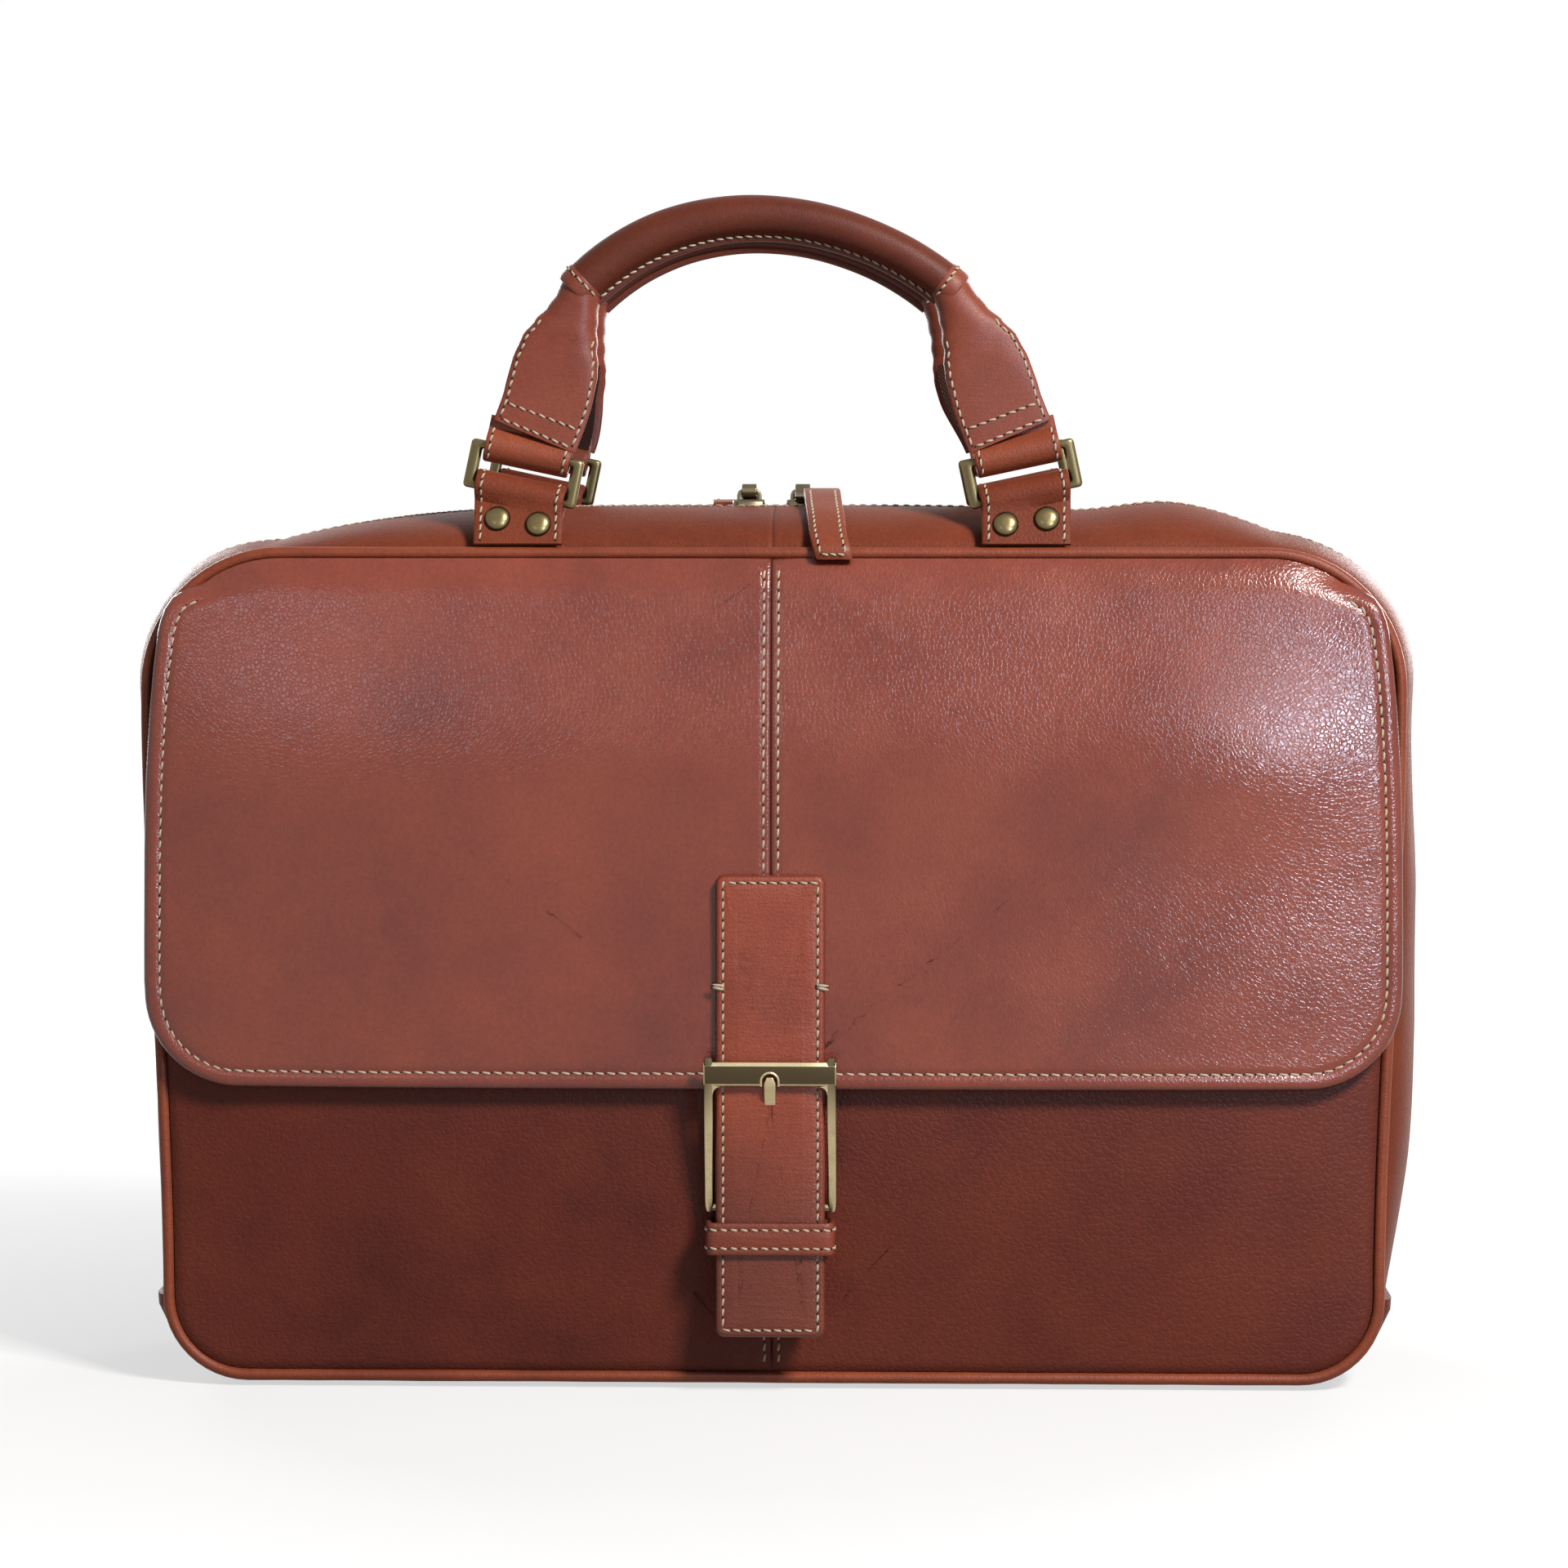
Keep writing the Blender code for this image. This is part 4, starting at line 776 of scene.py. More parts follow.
def slack(x, z):
    """The soft strip isn't even: it stands fuller to the right of the tabs and low on the right side, and
    lies flatter down the left side and below the right shoulder."""
    top = smoothstep((z - 215 * MM) / (30 * MM))
    swell = 6 * MM * top * bump_at(x, 98 * MM, 136 * MM, 196 * MM)
    if x > 190 * MM:
        swell += 3.5 * MM * bump_at(z, 4 * MM, 80 * MM, 190 * MM)
        return swell - 3 * MM * bump_at(z, 160 * MM, 215 * MM, 262 * MM)
    if x < -190 * MM:
        return -6.5 * MM * bump_at(z, 4 * MM, 180 * MM, 280 * MM)
    return swell


def bump_at(value, start, peak, end):
    """A smooth hump from 0 at its start to 1 at its peak and back to 0 at its end."""
    if value < peak:
        return smoothstep((value - start) / (peak - start))
    return smoothstep((end - value) / (end - peak))


# %% Places on the strip
STATIONS = crown_path()


def on_strip(station, side, depth, height):
    (x, z), (nx, nz), _ = station
    return Vector((x + nx * height, side * depth, z + nz * height))


def crown_height(depth, crown):
    """Height of the strip's outer face at a depth from the middle plane."""
    if depth <= ZIP_HALF:
        return crown
    return crown * math.sin(math.acos(clamp(1 - (GUSSET_Y - depth) / GUSSET_SPAN)))


def strip_lift(station, side, depth):
    """Unevenness of the strip: soft waves, the stitched groove by the zip and the seam in the middle."""
    x, z = station[0]
    inside = clamp((GUSSET_Y - depth) / (8 * MM)) * clamp((depth - ZIP_HALF) / (8 * MM))
    wave = 0.45 * ripple((x, side * depth, z), 38 * MM, 4) * inside
    groove = -0.35 * math.exp(-((depth - ZIP_SEAM) / (0.9 * MM)) ** 2)
    seam = -0.75 * math.exp(-(x / (0.55 * MM)) ** 2) if z > PANEL["top"] - MM else 0.0
    return (wave + groove + seam) * MM


print("strip:", len(STATIONS), "stations")

# %% Gussets
DEPTHS = [47.9, 47.4, 46.6, 45.4, 43.5, 40.5, 36.5, 32, 27, 22.5]
DEPTHS += [18.5, 15, 12.3, 10.8, 9.9, 9.2, 8.5, 7.6, 6.8, 6.3]
EDGE_TURN = [(6.08, -0.35), (6.0, -0.8), (6.1, -1.4), (6.6, -1.85)]


def make_gusset(side):
    rings = []
    for station in STATIONS:
        crown = station[2]
        outer = []
        for depth in DEPTHS:
            height = crown_height(depth * MM, crown) + strip_lift(station, side, depth * MM)
            outer.append(on_strip(station, side, depth * MM, height))
        edge = [on_strip(station, side, depth * MM, crown + drop * MM) for depth, drop in EDGE_TURN]
        inner = []
        for depth in DEPTHS[:2:-2]:
            under = crown_height(depth * MM, crown) - 2 * MM
            inner.append(on_strip(station, side, max(depth - 0.8, 6.8) * MM, under))
        rings.append(outer + edge + inner)
    name = SIDES[side]
    piece = new_object(f"{name}_gusset_leather", loft(rings), TAN_LEATHER)
    paint(piece, lambda co: 0.35 * clamp(1 - (abs(co.y) - 5.9 * MM) / (1.2 * MM)))
    settle(piece, "bag", "tan_leather", f"{name}_gusset")
    row = []
    for station in STATIONS[3:-3]:
        depths = (ZIP_SEAM + 0.5 * MM, ZIP_SEAM - 0.5 * MM)
        low, high = (on_strip(station, side, y, crown_height(y, station[2])) for y in depths)
        middle = (low + high) / 2
        way = Vector((station[1][1], 0, -station[1][0]))
        normal = way.cross(high - low).normalized()
        out = Vector((station[1][0], 0, station[1][1]))
        if normal.dot(out) < 0:
            normal = -normal
        row.append((middle - normal * 0.05 * MM, normal))
    settle(stitch_rows(f"{name}_gusset_stitches", [row], THREAD), "bag", "webbing")
    return piece


for side in (FRONT, BACK):
    print("gusset:", len(make_gusset(side).data.vertices), "vertices")


# %% Piping and bottom
PIPING_Y = 50 * MM


def make_piping(side):
    path = mirrored(panel_half())
    rings = []
    for (x, z), (nx, nz) in zip(path, normals(path, loop=True)):
        radius = (1.95 + 0.12 * ripple((x, side, z), 14 * MM, 7)) * MM
        ring = []
        for k in range(12):
            turn = math.radians(30 * k)
            out = radius * math.cos(turn)
            ring.append((x + out * nx, side * PIPING_Y + radius * math.sin(turn), z + out * nz))
        rings.append(ring)
    name = SIDES[side]
    piece = new_object(f"{name}_piping_cord", loft(rings, loop=True), EDGE_LEATHER)
    settle(piece, "bag", "piping_leather", f"{name}_piping")


def make_bottom():
    """The strip under the bag, turned up at both ends into a thick hem over the side seams."""
    half = panel_half()[:FOOT_RUN + FOOT_TURN + 1]
    path = [(-x, z) for x, z in reversed(half)] + half[1:]
    rings = []
    for (x, z), normal in zip(path, normals(path)):
        hem = 1.6 * MM * smoothstep((z - 22 * MM) / (2 * MM))
        station = ((x, z), normal, 0.0)
        outer = []
        for turn in (0, 18, 36, 54, 72, 90):
            a = math.radians(turn)
            depth = GUSSET_Y - 8 * MM * (1 - math.cos(a))
            outer.append((depth, (3.5 * MM + hem) * math.sin(a)))
        outer += [(-depth, height) for depth, height in reversed(outer)]
        inner = [(y - math.copysign(1.6 * MM, y), max(height - 2 * MM, 0.0)) for y, height in outer]
        rings.append([on_strip(station, BACK, y, height) for y, height in outer + inner[::-1]])
    piece = new_object("bottom_leather", loft(rings), POCKET_LEATHER)
    settle(piece, "bag", "dark_leather", "bottom_panel")


for side in (FRONT, BACK):
    make_piping(side)
make_bottom()
print("piping and bottom made")

# %% [markdown]
# ## Pocket, front wall and back
#
# The pocket stands a little open at its mouth and is sewn flat into the piping at its sides and foot. It
# is cut in two halves with a seam up the middle. Behind it lies the flat front wall, and the back of the
# bag is one gently domed panel. All three come from the panel maker with their own face function.

# %% Pocket, wall and back
SEAM_ROWS = (-2.35 * MM, 2.35 * MM)
SEAM_ALLOWANCE = 2.1 * MM
POCKET_FOOT, POCKET_MOUTH = PANEL["foot"] + SEAM_ALLOWANCE, 222 * MM
POCKET_HALF = PANEL["top_half"] - SEAM_ALLOWANCE
WALL_Y, POCKET_Y = 49 * MM, -51.3 * MM


def pocket_front(x, z):
    """Outer face of the pocket: full above its foot, drawn in towards its mouth and flat at its sides."""
    rise = math.sin(math.pi / 2 * clamp((z - POCKET_FOOT) / (95 * MM)))
    draw = 1 - 0.35 * smoothstep((z - 98.5 * MM) / (127 * MM))
    across = max(1 - (x / POCKET_HALF) ** 4, 0.0)
    return POCKET_Y - 7.5 * MM * rise * draw * across


def pocket_half(hand):
    """Outline of half the pocket and the kind of each edge point, anticlockwise from the front."""
    half = panel_half(SEAM_ALLOWANCE)
    kept = [(x, z) for x, z in half if z < POCKET_MOUTH - 2 * MM]
    corner = kept[-1][0]
    points = [(x, z, "piped") for x, z in kept]
    points += [(lerp(corner, 0.0, k / 34), POCKET_MOUTH, "rolled") for k in range(34)]
    points += [(0.0, lerp(POCKET_MOUTH, POCKET_FOOT, k / 44), "seamed") for k in range(44)]
    return handed(points, hand)


def make_front():
    halves = []
    for hand in (LEFT, RIGHT):
        outline, edges = pocket_half(hand)
        name = f"pocket_{HANDS[hand]}_half"
        piece = panel(name, outline, edges, pocket_front, FRONT, 2 * MM, POCKET_LEATHER, 11 + hand)
        settle(piece, "bag", "dark_leather", "front_pocket")
        halves.append(piece)
    rows = []
    for x in SEAM_ROWS:
        line = [(x, lerp(7 * MM, POCKET_MOUTH - 6 * MM, k / 60)) for k in range(61)]
        rows.append(sunk(line, pocket_front, FRONT, 0.22))
    settle(stitch_rows("pocket_seam_stitches", rows, THREAD), "bag", "webbing")
    outline = mirrored(panel_half(SEAM_ALLOWANCE))
    edges = ["piped"] * len(outline)
    wall = panel("front_wall_leather", outline, edges, lambda x, z: -WALL_Y, FRONT, 2 * MM, TAN_LEATHER, 15)
    settle(wall, "bag", "tan_leather", "front_wall")

    def back_face(x, z):
        rise = 2 * (z - PANEL["foot"]) / (PANEL["top"] - PANEL["foot"]) - 1
        across = max(1 - (x / PANEL["top_half"]) ** 4, 0.0)
        return WALL_Y + 4 * MM * across * max(1 - rise ** 4, 0.0)

    back = panel("back_leather", outline, edges, back_face, BACK, 2 * MM, TAN_LEATHER, 19)
    settle(back, "bag", "tan_leather", "back_panel")
    print("front and back:", [len(p.data.vertices) for p in (*halves, wall, back)])


make_front()

# %% [markdown]
# ## The flap
#
# The flap is the face of the bag: two halves with a stitched seam between them, rolled along the free
# edge, and tucked under the top piping. It bends where it leaves its sewn root, so its upper edge stays
# with the bag and the rest turns with the flap. A blend between the two bodies does that, as leather
# does, with no gap at the hinge.

# %% Flap's face and outline
FLAP_FOOT = 100 * MM
HINGE_Z = 262 * MM
FLAP_TOP = 272.3 * MM
FLAP_Y = -56.0 * MM
FLAP_BORDER = 5.3 * MM
FLAP_SIDE = [(146, 205.2), (176, 205), (200, 204.4), (221, 203.2), (236, 202), (250, 200.2)]
FLAP_SIDE += [(255, 198.6), (259, 196.4), (261.6, 193.6), (263, 190.6)]


def flap_front(x, z):
    """Outer face of the closed flap: it swells towards its foot, hugs the bag at its sides, tucks in behind
    the top piping, and puffs out below that, most at its right shoulder."""
    drop = clamp((HINGE_Z - z) / (HINGE_Z - FLAP_FOOT))
    swell = 9.5 * MM * (1 - (1 - drop) ** 2.2)
    hug = 1 - 0.75 * min(abs(x / PANEL["top_half"]), 1.02) ** 4
    head = PANEL["top"] - PANEL["top_corner"]
    inner = PANEL["top_half"] - PANEL["top_corner"]
    reach = math.hypot(max(abs(x) - inner, 0.0), z - head) if z > head else 0.0
    tuck = clamp((reach - PANEL["top_corner"] + 16 * MM) / (14.3 * MM))
    tuck *= smoothstep((z - 252 * MM) / (14 * MM))
    puff = 3.0 * MM * math.exp(-((z - 212 * MM) / (30 * MM)) ** 2)
    puff *= 1 - (min(abs(x), 204 * MM) / PANEL["top_half"]) ** 6
    across, up = (x - 148 * MM) / (42 * MM), (z - 214 * MM) / (30 * MM)
    corner = 2.2 * MM * math.exp(-across ** 2 - up ** 2)
    return FLAP_Y - swell * hug + 4.6 * MM * tuck * tuck - puff - corner


def flap_half(hand):
    """Outline of half the flap and the kind of each edge point."""
    corner = (174 * MM, 131 * MM)
    points = [(lerp(0, corner[0], k / 36), FLAP_FOOT, "rolled") for k in range(36)]
    points += [(x, z, "rolled") for x, z in arc(corner, 31 * MM, -90, 0, 16)]
    for k in range(37):
        height = lerp(134, 263, k / 36)
        low = next((row for row in reversed(FLAP_SIDE) if row[0] <= height), FLAP_SIDE[0])
        high = next((row for row in FLAP_SIDE if row[0] > height), FLAP_SIDE[-1])
        share = clamp((height - low[0]) / max(high[0] - low[0], 1e-6))
        points.append((lerp(low[1], high[1], share) * MM, height * MM, "rolled"))
    head = (PANEL["top_half"] - PANEL["top_corner"], PANEL["top"] - PANEL["top_corner"])
    points += [(x, z, "tucked") for x, z in arc(head, FLAP_TOP - head[1], 55, 90, 10)]
    points += [(lerp(head[0], 0, k / 34), FLAP_TOP, "tucked") for k in range(1, 34)]
    points += [(0.0, lerp(FLAP_TOP, FLAP_FOOT, k / 36), "seamed") for k in range(36)]
    return handed(points, hand)


# %% Flap halves
FLAP_BEND = ((0, -0.0545, 0.2715), (0, -0.0545, 0.254))


def on_flap(piece, slot="tan_leather"):
    """Rides a piece on the bag at the flap's root and on the flap below its hinge."""
    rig.blend(piece, "bag", "flap", start=FLAP_BEND[0], end=FLAP_BEND[1])
    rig.slot(piece, slot)
    return piece


def make_flap():
    free = []
    for hand in (LEFT, RIGHT):
        outline, edges = flap_half(hand)
        name = f"flap_{HANDS[hand]}_half"
        piece = panel(name, outline, edges, flap_front, FRONT, 2.8 * MM, FLAP_LEATHER, 21 + hand)
        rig.replaces(piece, "flap", "flap_root")
        on_flap(piece)
        inner = inset_loop(outline, FLAP_BORDER)
        line = [point for point, kind in zip(inner, edges) if kind == "rolled"]
        line.insert(0 if hand == LEFT else len(line), (hand * 192.6 * MM, 261.5 * MM))
        free.append(line)
        print(name, len(piece.data.vertices), "vertices")
    rows = [sunk(line, flap_front, FRONT, 0.36) for line in free]
    on_flap(stitch_rows("flap_border_stitches", rows, THREAD), "webbing")
    rows = []
    for x in SEAM_ROWS:
        line = [(x, lerp(107 * MM, 270 * MM, k / 60)) for k in range(61)]
        rows.append(sunk(line, flap_front, FRONT, 0.22))
    on_flap(stitch_rows("flap_seam_stitches", rows, THREAD), "webbing")


make_flap()

# %% [markdown]
# ## Strap, buckle and keeper
#
# The strap is sewn on the flap, passes under the buckle's top bar and ends below the keeper. It is a
# narrow panel with its own stitched edge. The hole for the prong is cut with a Boolean, and the result
# is taken into the mesh at once.

# %% Cutting and sweeping
def cut(piece, tool_mesh):
    """Cuts a mesh out of a piece for good."""
    data = bpy.data.meshes.new("tool")
    tool_mesh.to_mesh(data)
    tool_mesh.free()
    tool = bpy.data.objects.new("tool", data)
    bpy.context.collection.objects.link(tool)
    change = piece.modifiers.new("cut", "BOOLEAN")
    change.operation = "DIFFERENCE"
    change.solver = "EXACT"
    change.object = tool
    evaluated = piece.evaluated_get(bpy.context.evaluated_depsgraph_get())
    result = bpy.data.meshes.new_from_object(evaluated)
    piece.modifiers.clear()
    piece.data = result
    bpy.data.objects.remove(tool)
    return piece


def stadium(half_width, low, high, steps=8):
    """A slot with round ends, as (x, z)."""
    top = arc((0, high - half_width), half_width, 0, 180, steps)
    return top + arc((0, low + half_width), half_width, 180, 360, steps)


def divided(start, end, count):
    """The start of a run and the places that divide it evenly."""
    return [(lerp(start[0], end[0], n / count), lerp(start[1], end[1], n / count)) for n in range(count)]


def rounded_box(half_a, half_b, radius, steps=6, runs=1):
    """A rectangle with round corners, anticlockwise, with each straight side in several runs."""
    points = []
    for quarter, (sa, sb) in enumerate(((1, 1), (-1, 1), (-1, -1), (1, -1))):
        centre = (sa * (half_a - radius), sb * (half_b - radius))
        points += arc(centre, radius, 90 * quarter, 90 * quarter + 90, steps)
    spaced = []
    for k, point in enumerate(points):
        after = points[(k + 1) % len(points)]
        count = runs if (k + 1) % (steps + 1) == 0 else 1
        spaced += divided(point, after, count)
    return spaced


def sweep(path, section_at, side):
    """Rings along a path: section_at(share) gives (across, through) points, side is the way across."""
    rings = []
    for k, here in enumerate(path):
        way = (path[min(k + 1, len(path) - 1)] - path[max(k - 1, 0)]).normalized()
        through = side.cross(way).normalized()
        rings.append([here + side * a + through * b for a, b in section_at(k / (len(path) - 1))])
    return rings


# %% Strap
STRAP_HALF, STRAP_LOW, STRAP_HIGH = 17.7 * MM, 20 * MM, 170 * MM
PROFILES["strap"] = [(0, -1.1), (0.4, -0.45), (0.9, -0.12), (1.6, 0)]
PROFILES["strap"] += [(2.2, -0.3), (2.6, -0.28), (3.3, 0), (6, 0.1)]
TACK_Z = 134 * MM


def strap_front(z):
    """Front face of the strap, on the flap and straight on below it."""
    return flap_front(0.0, max(z, FLAP_FOOT)) - 3.3 * MM


def make_strap():
    middle = (STRAP_LOW + STRAP_HIGH) / 2
    box = rounded_box(STRAP_HALF, (STRAP_HIGH - STRAP_LOW) / 2, 3 * MM)
    outline = []
    for point, after in zip(box, box[1:] + box[:1]):
        count = max(int(math.dist(point, after) / (3.4 * MM)), 1)
        outline += [(x, middle + z) for x, z in divided(point, after, count)]

    def face(x, z):
        wave = 0.3 * MM * ripple((x, 0.0, z), 21 * MM, 31) * clamp((z - 112 * MM) / (12 * MM))
        return strap_front(z) + 0.12 * MM * (x / STRAP_HALF) ** 2 + wave

    edges = ["strap"] * len(outline)
    piece = panel("strap_leather", outline, edges, face, FRONT, 3 * MM, STRAP_LEATHER, 33)
    hole = stadium(2.5 * MM, 88.9 * MM, 100.2 * MM)
    cut(piece, loft([[(x, y, z) for x, z in hole] for y in (-90 * MM, -50 * MM)]))
    # Painted shade: the strap is painted darker towards its lower end, where less light reaches it; its edges keep
    # their own darkening.
    darkening = piece.data.attributes["rim"].data
    for vertex in piece.data.vertices:
        painted_shade = 0.55 * smoothstep((106 * MM - vertex.co.z) / (60 * MM))
        darkening[vertex.index].value = max(darkening[vertex.index].value, painted_shade)
    settle(piece, "flap", "tan_leather", "flap_strap")
    line = inset_loop(outline, 2.35 * MM)
    row = sunk(line + line[:1], face, FRONT, 0.2)
    mesh = stitch_into(bmesh.new(), row, pitch=3.3, length=2.9, width=0.38, margin=0)
    for hand in (LEFT, RIGHT):
        for drop in (-0.5, 0.5):
            place = Vector((hand * 16.9 * MM, face(17 * MM, TACK_Z) - 0.1 * MM, TACK_Z + drop * MM))
            reach = Vector((2.0 * MM, 0, 0.25 * MM * drop))
            tack = [(end, Vector((0, -1, 0))) for end in (place - reach, place + reach)]
            stitch_into(mesh, tack, pitch=4, length=4, width=0.45, margin=0)
    settle(new_object("strap_stitches", mesh, THREAD, 60), "flap", "webbing")
    print("strap:", len(piece.data.vertices), "vertices")


make_strap()

# %% [markdown]
# The buckle is cast brass: two side bars, a broad top bar with a notch for the prong, and a round hinge
# bar at its foot. Its colour carries painted reflection: the top bar has a painted mask, dark on the face as
# if it reflected a dark room and bare on the chamfers, and the side bars are painted darker towards the top.

# %% Buckle's side bars
BUCKLE_FOOT, BUCKLE_HEAD = 60 * MM, 111.6 * MM
BUCKLE_INNER, BUCKLE_OUTER = 18.5 * MM, 21.4 * MM
HINGE_BAR_Y, HINGE_BAR_Z = -61.1 * MM, 61.4 * MM
NOTCH_HALF, NOTCH_Z, NOTCH_FOOT = 2.5 * MM, 103.9 * MM, 102.2 * MM
BAR_SECTION = [(1.2, 102.3), (1.2, 109.6), (0.9, 110.1), (0.2, 110.2), (-0.5, 110.05), (-1.1, 109.1)]
BAR_SECTION += [(-1.2, 108.9), (-1.22, 108.82), (-1.26, 106), (-1.22, 103.0), (-1.2, 102.9)]
BAR_SECTION += [(-1.0, 102.4), (-0.6, 102.1), (0.8, 102.0)]
BAR_ENDS = [(20.9, 0), (21.4, 0.1), (21.5, 0.25)]


def buckle_y(z):
    """Middle of the buckle's plate at a height."""
    return -61.4 * MM - 0.2266 * (z - HINGE_BAR_Z)


def make_side_bars():
    mesh = bmesh.new()
    for hand in (LEFT, RIGHT):
        middle = hand * (BUCKLE_INNER + BUCKLE_OUTER) / 2
        rings = []
        for share in (0, 0.012, 0.035, 0.08, 0.3, 0.5, 0.6, 0.7, 0.8, 0.9, 0.985, 1.0):
            z = lerp(BUCKLE_FOOT, BUCKLE_HEAD, share)
            half = 1.45 * MM * (0.55 + 0.45 * clamp(share / 0.05) ** 0.5)
            half *= 1 - 0.3 * clamp((share - 0.98) / 0.02)
            box = rounded_box(half, 1.2 * MM, 0.5 * MM, 3)
            rings.append([(middle + a, buckle_y(z) + b, z) for a, b in box])
        loft_into(mesh, rings)
    circle = arc((HINGE_BAR_Y, HINGE_BAR_Z), 1.4 * MM, 0, 360, 16)[:-1]
    loft_into(mesh, [[(x, y, z) for y, z in circle] for x in (-20.4 * MM, 20.4 * MM)])
    bars = new_object("buckle_side_bars", mesh, BRASS)

    # Painted reflection: the side bars are painted dark towards their top and bright lower down, for how they reflect;
    # their outer faces are a little darker too.
    def patina_and_painted_reflection(co):
        outside = clamp((abs(co.x) - 20.6 * MM) / (0.8 * MM))
        return clamp(0.3 * outside + 0.8 * smoothstep((co.z - 82 * MM) / (26 * MM)))

    paint(bars, patina_and_painted_reflection)
    return bars


# %% Buckle's top bar and corners
def make_top_bar():
    rings = []
    left_end = [(-x, shrink) for x, shrink in reversed(BAR_ENDS)]
    for x, shrink in left_end + [(-10, 0), (0, 0), (10, 0)] + BAR_ENDS:
        ring = []
        for depth, z in BAR_SECTION:
            height = lerp(z, 106.1, shrink * 0.25)
            ring.append((x * MM, buckle_y(height * MM) + depth * MM * (1 - shrink), height * MM))
        rings.append(ring)
    bar = new_object("buckle_top_bar", loft(rings), BRASS, 30)
    notch = arc((0, NOTCH_Z), NOTCH_HALF, 0, 180, 12) + [(-NOTCH_HALF, 100 * MM), (NOTCH_HALF, 100 * MM)]
    cut(bar, loft([[(x, y, z) for x, z in notch] for y in (-85 * MM, -60 * MM)]))
    # Painted reflection: the front face is painted dark, as if it reflected a dark room, and the chamfers stay bright.
    paint(bar, lambda co: 0.95 if co.y - buckle_y(co.z) < -1.21 * MM else 0.1)
    return bar


def make_notch_rim():
    radius = NOTCH_HALF + 0.35 * MM
    line = [(radius, NOTCH_FOOT), *arc((0, NOTCH_Z), radius, 0, 180, 14), (-radius, NOTCH_FOOT)]
    arch = [Vector((x, buckle_y(z) - 1.1 * MM, z)) for x, z in line]
    rings = sweep(arch, lambda share: arc((0, 0), 0.45 * MM, 0, 360, 8)[:-1], Vector((0, 1, 0)))
    return new_object("buckle_notch_rim", loft(rings), BRASS)


def make_fillets():
    mesh = bmesh.new()
    radius, foot = 2.6 * MM, 99.4 * MM
    for hand in (LEFT, RIGHT):
        turn = arc((hand * (BUCKLE_INNER - radius), foot), radius, 0 if hand == RIGHT else 180, 90, 6)
        side = hand * (BUCKLE_INNER + 0.6 * MM)
        shape = turn + [(side, 102.6 * MM), (side, foot)]
        loft_into(mesh, [[(x, buckle_y(z) + b, z) for x, z in shape] for b in (-1.05 * MM, 1.05 * MM)])
    return new_object("buckle_corner_fillets", mesh, BRASS)


for piece in (make_side_bars(), make_top_bar(), make_notch_rim(), make_fillets()):
    settle(piece, "flap", "antique_brass", "buckle_frame")
    print(piece.name, len(piece.data.vertices), "vertices")


# %% Prong
def make_prong():
    """A flat pin from its eye round the hinge bar, up behind the strap and out through the hole."""
    path = arc((HINGE_BAR_Y, HINGE_BAR_Z), 2.6 * MM, 60, -180, 20)
    pin = [(-63.9, 75), (-64.4, 86), (-65.6, 91), (-68, 96), (-70.4, 100.6), (-71.5, 103.4), (-71.9, 105.2)]
    path += [(y * MM, z * MM) for y, z in pin]
    points = [Vector((0, y, z)) for y, z in path]
    tip = len(points) - 1

    def section(share):
        at = share * tip
        size = 1.0 if at < tip - 1 else lerp(1.0, 0.55, at - tip + 1)
        return rounded_box(2 * MM * size, 0.95 * MM * size, 0.7 * MM * size, 3)

    piece = new_object("buckle_pin", loft(sweep(points, section, Vector((1, 0, 0)))), BRASS)
    paint(piece, lambda co: 0.15)
    settle(piece, "flap", "antique_brass", "buckle_prong")


make_prong()
print("prong made")

# %% [markdown]
# Tabs, loops and the chape behind the buckle are all one form: a strip folded round a bar, with its two
# ends lying on each other. The fold is drawn once as a flat profile and given to each of them.

# %% Folded strips
def offset_line(points, distance):
    """A line of (a, b) points moved sideways, to the left of the way it runs."""
    moved = []
    for k, point in enumerate(points):
        here = Vector(point)
        before = Vector(points[max(k - 1, 0)])
        after = Vector(points[min(k + 1, len(points) - 1)])
        first = (here - before).normalized() if k else (after - here).normalized()
        second = (after - here).normalized() if k < len(points) - 1 else first
        along = (first + second).normalized()
        stretch = 1 / max(along.dot(first), 0.5)
        moved.append((here.x - along.y * distance * stretch, here.y + along.x * distance * stretch))
    return moved


def folded_line(bore, thickness, neck, tails, runs=6):
    """Middle line of a strip folded round a bar, as (across, up): loop at the origin, tails below it."""
    mid = bore + thickness / 2
    side = 0.15 * MM + thickness / 2
    line = [(side, lerp(-tails[0], -neck, k / runs)) for k in range(runs + 1)]
    line += arc((0, 0), mid, -35, 215, 22)
    line += [(-side, lerp(-neck, -tails[1], k / runs)) for k in range(runs + 1)]
    return line


def folded_strip(name, line, thickness, half_width, place, material):
    """A folded strip with rounded edges: place(along, across, up) sets each point."""
    edge = 0.32 * thickness / half_width
    rims = [(1 - edge, 1.0), (1 - 0.25 * edge, 0.8), (1, 0.55)]
    cross = [(-along, shrink) for along, shrink in reversed(rims)]
    cross += [(along, 1.0) for along in (-0.86, -0.5, 0, 0.5, 0.86)] + rims
    rings = []
    for along, shrink in cross:
        outer = offset_line(line, thickness / 2 * shrink)
        inner = offset_line(line, -thickness / 2 * shrink)
        rings.append([place(along * half_width, a, b) for a, b in outer + inner[::-1]])
    return new_object(name, loft(rings), material)


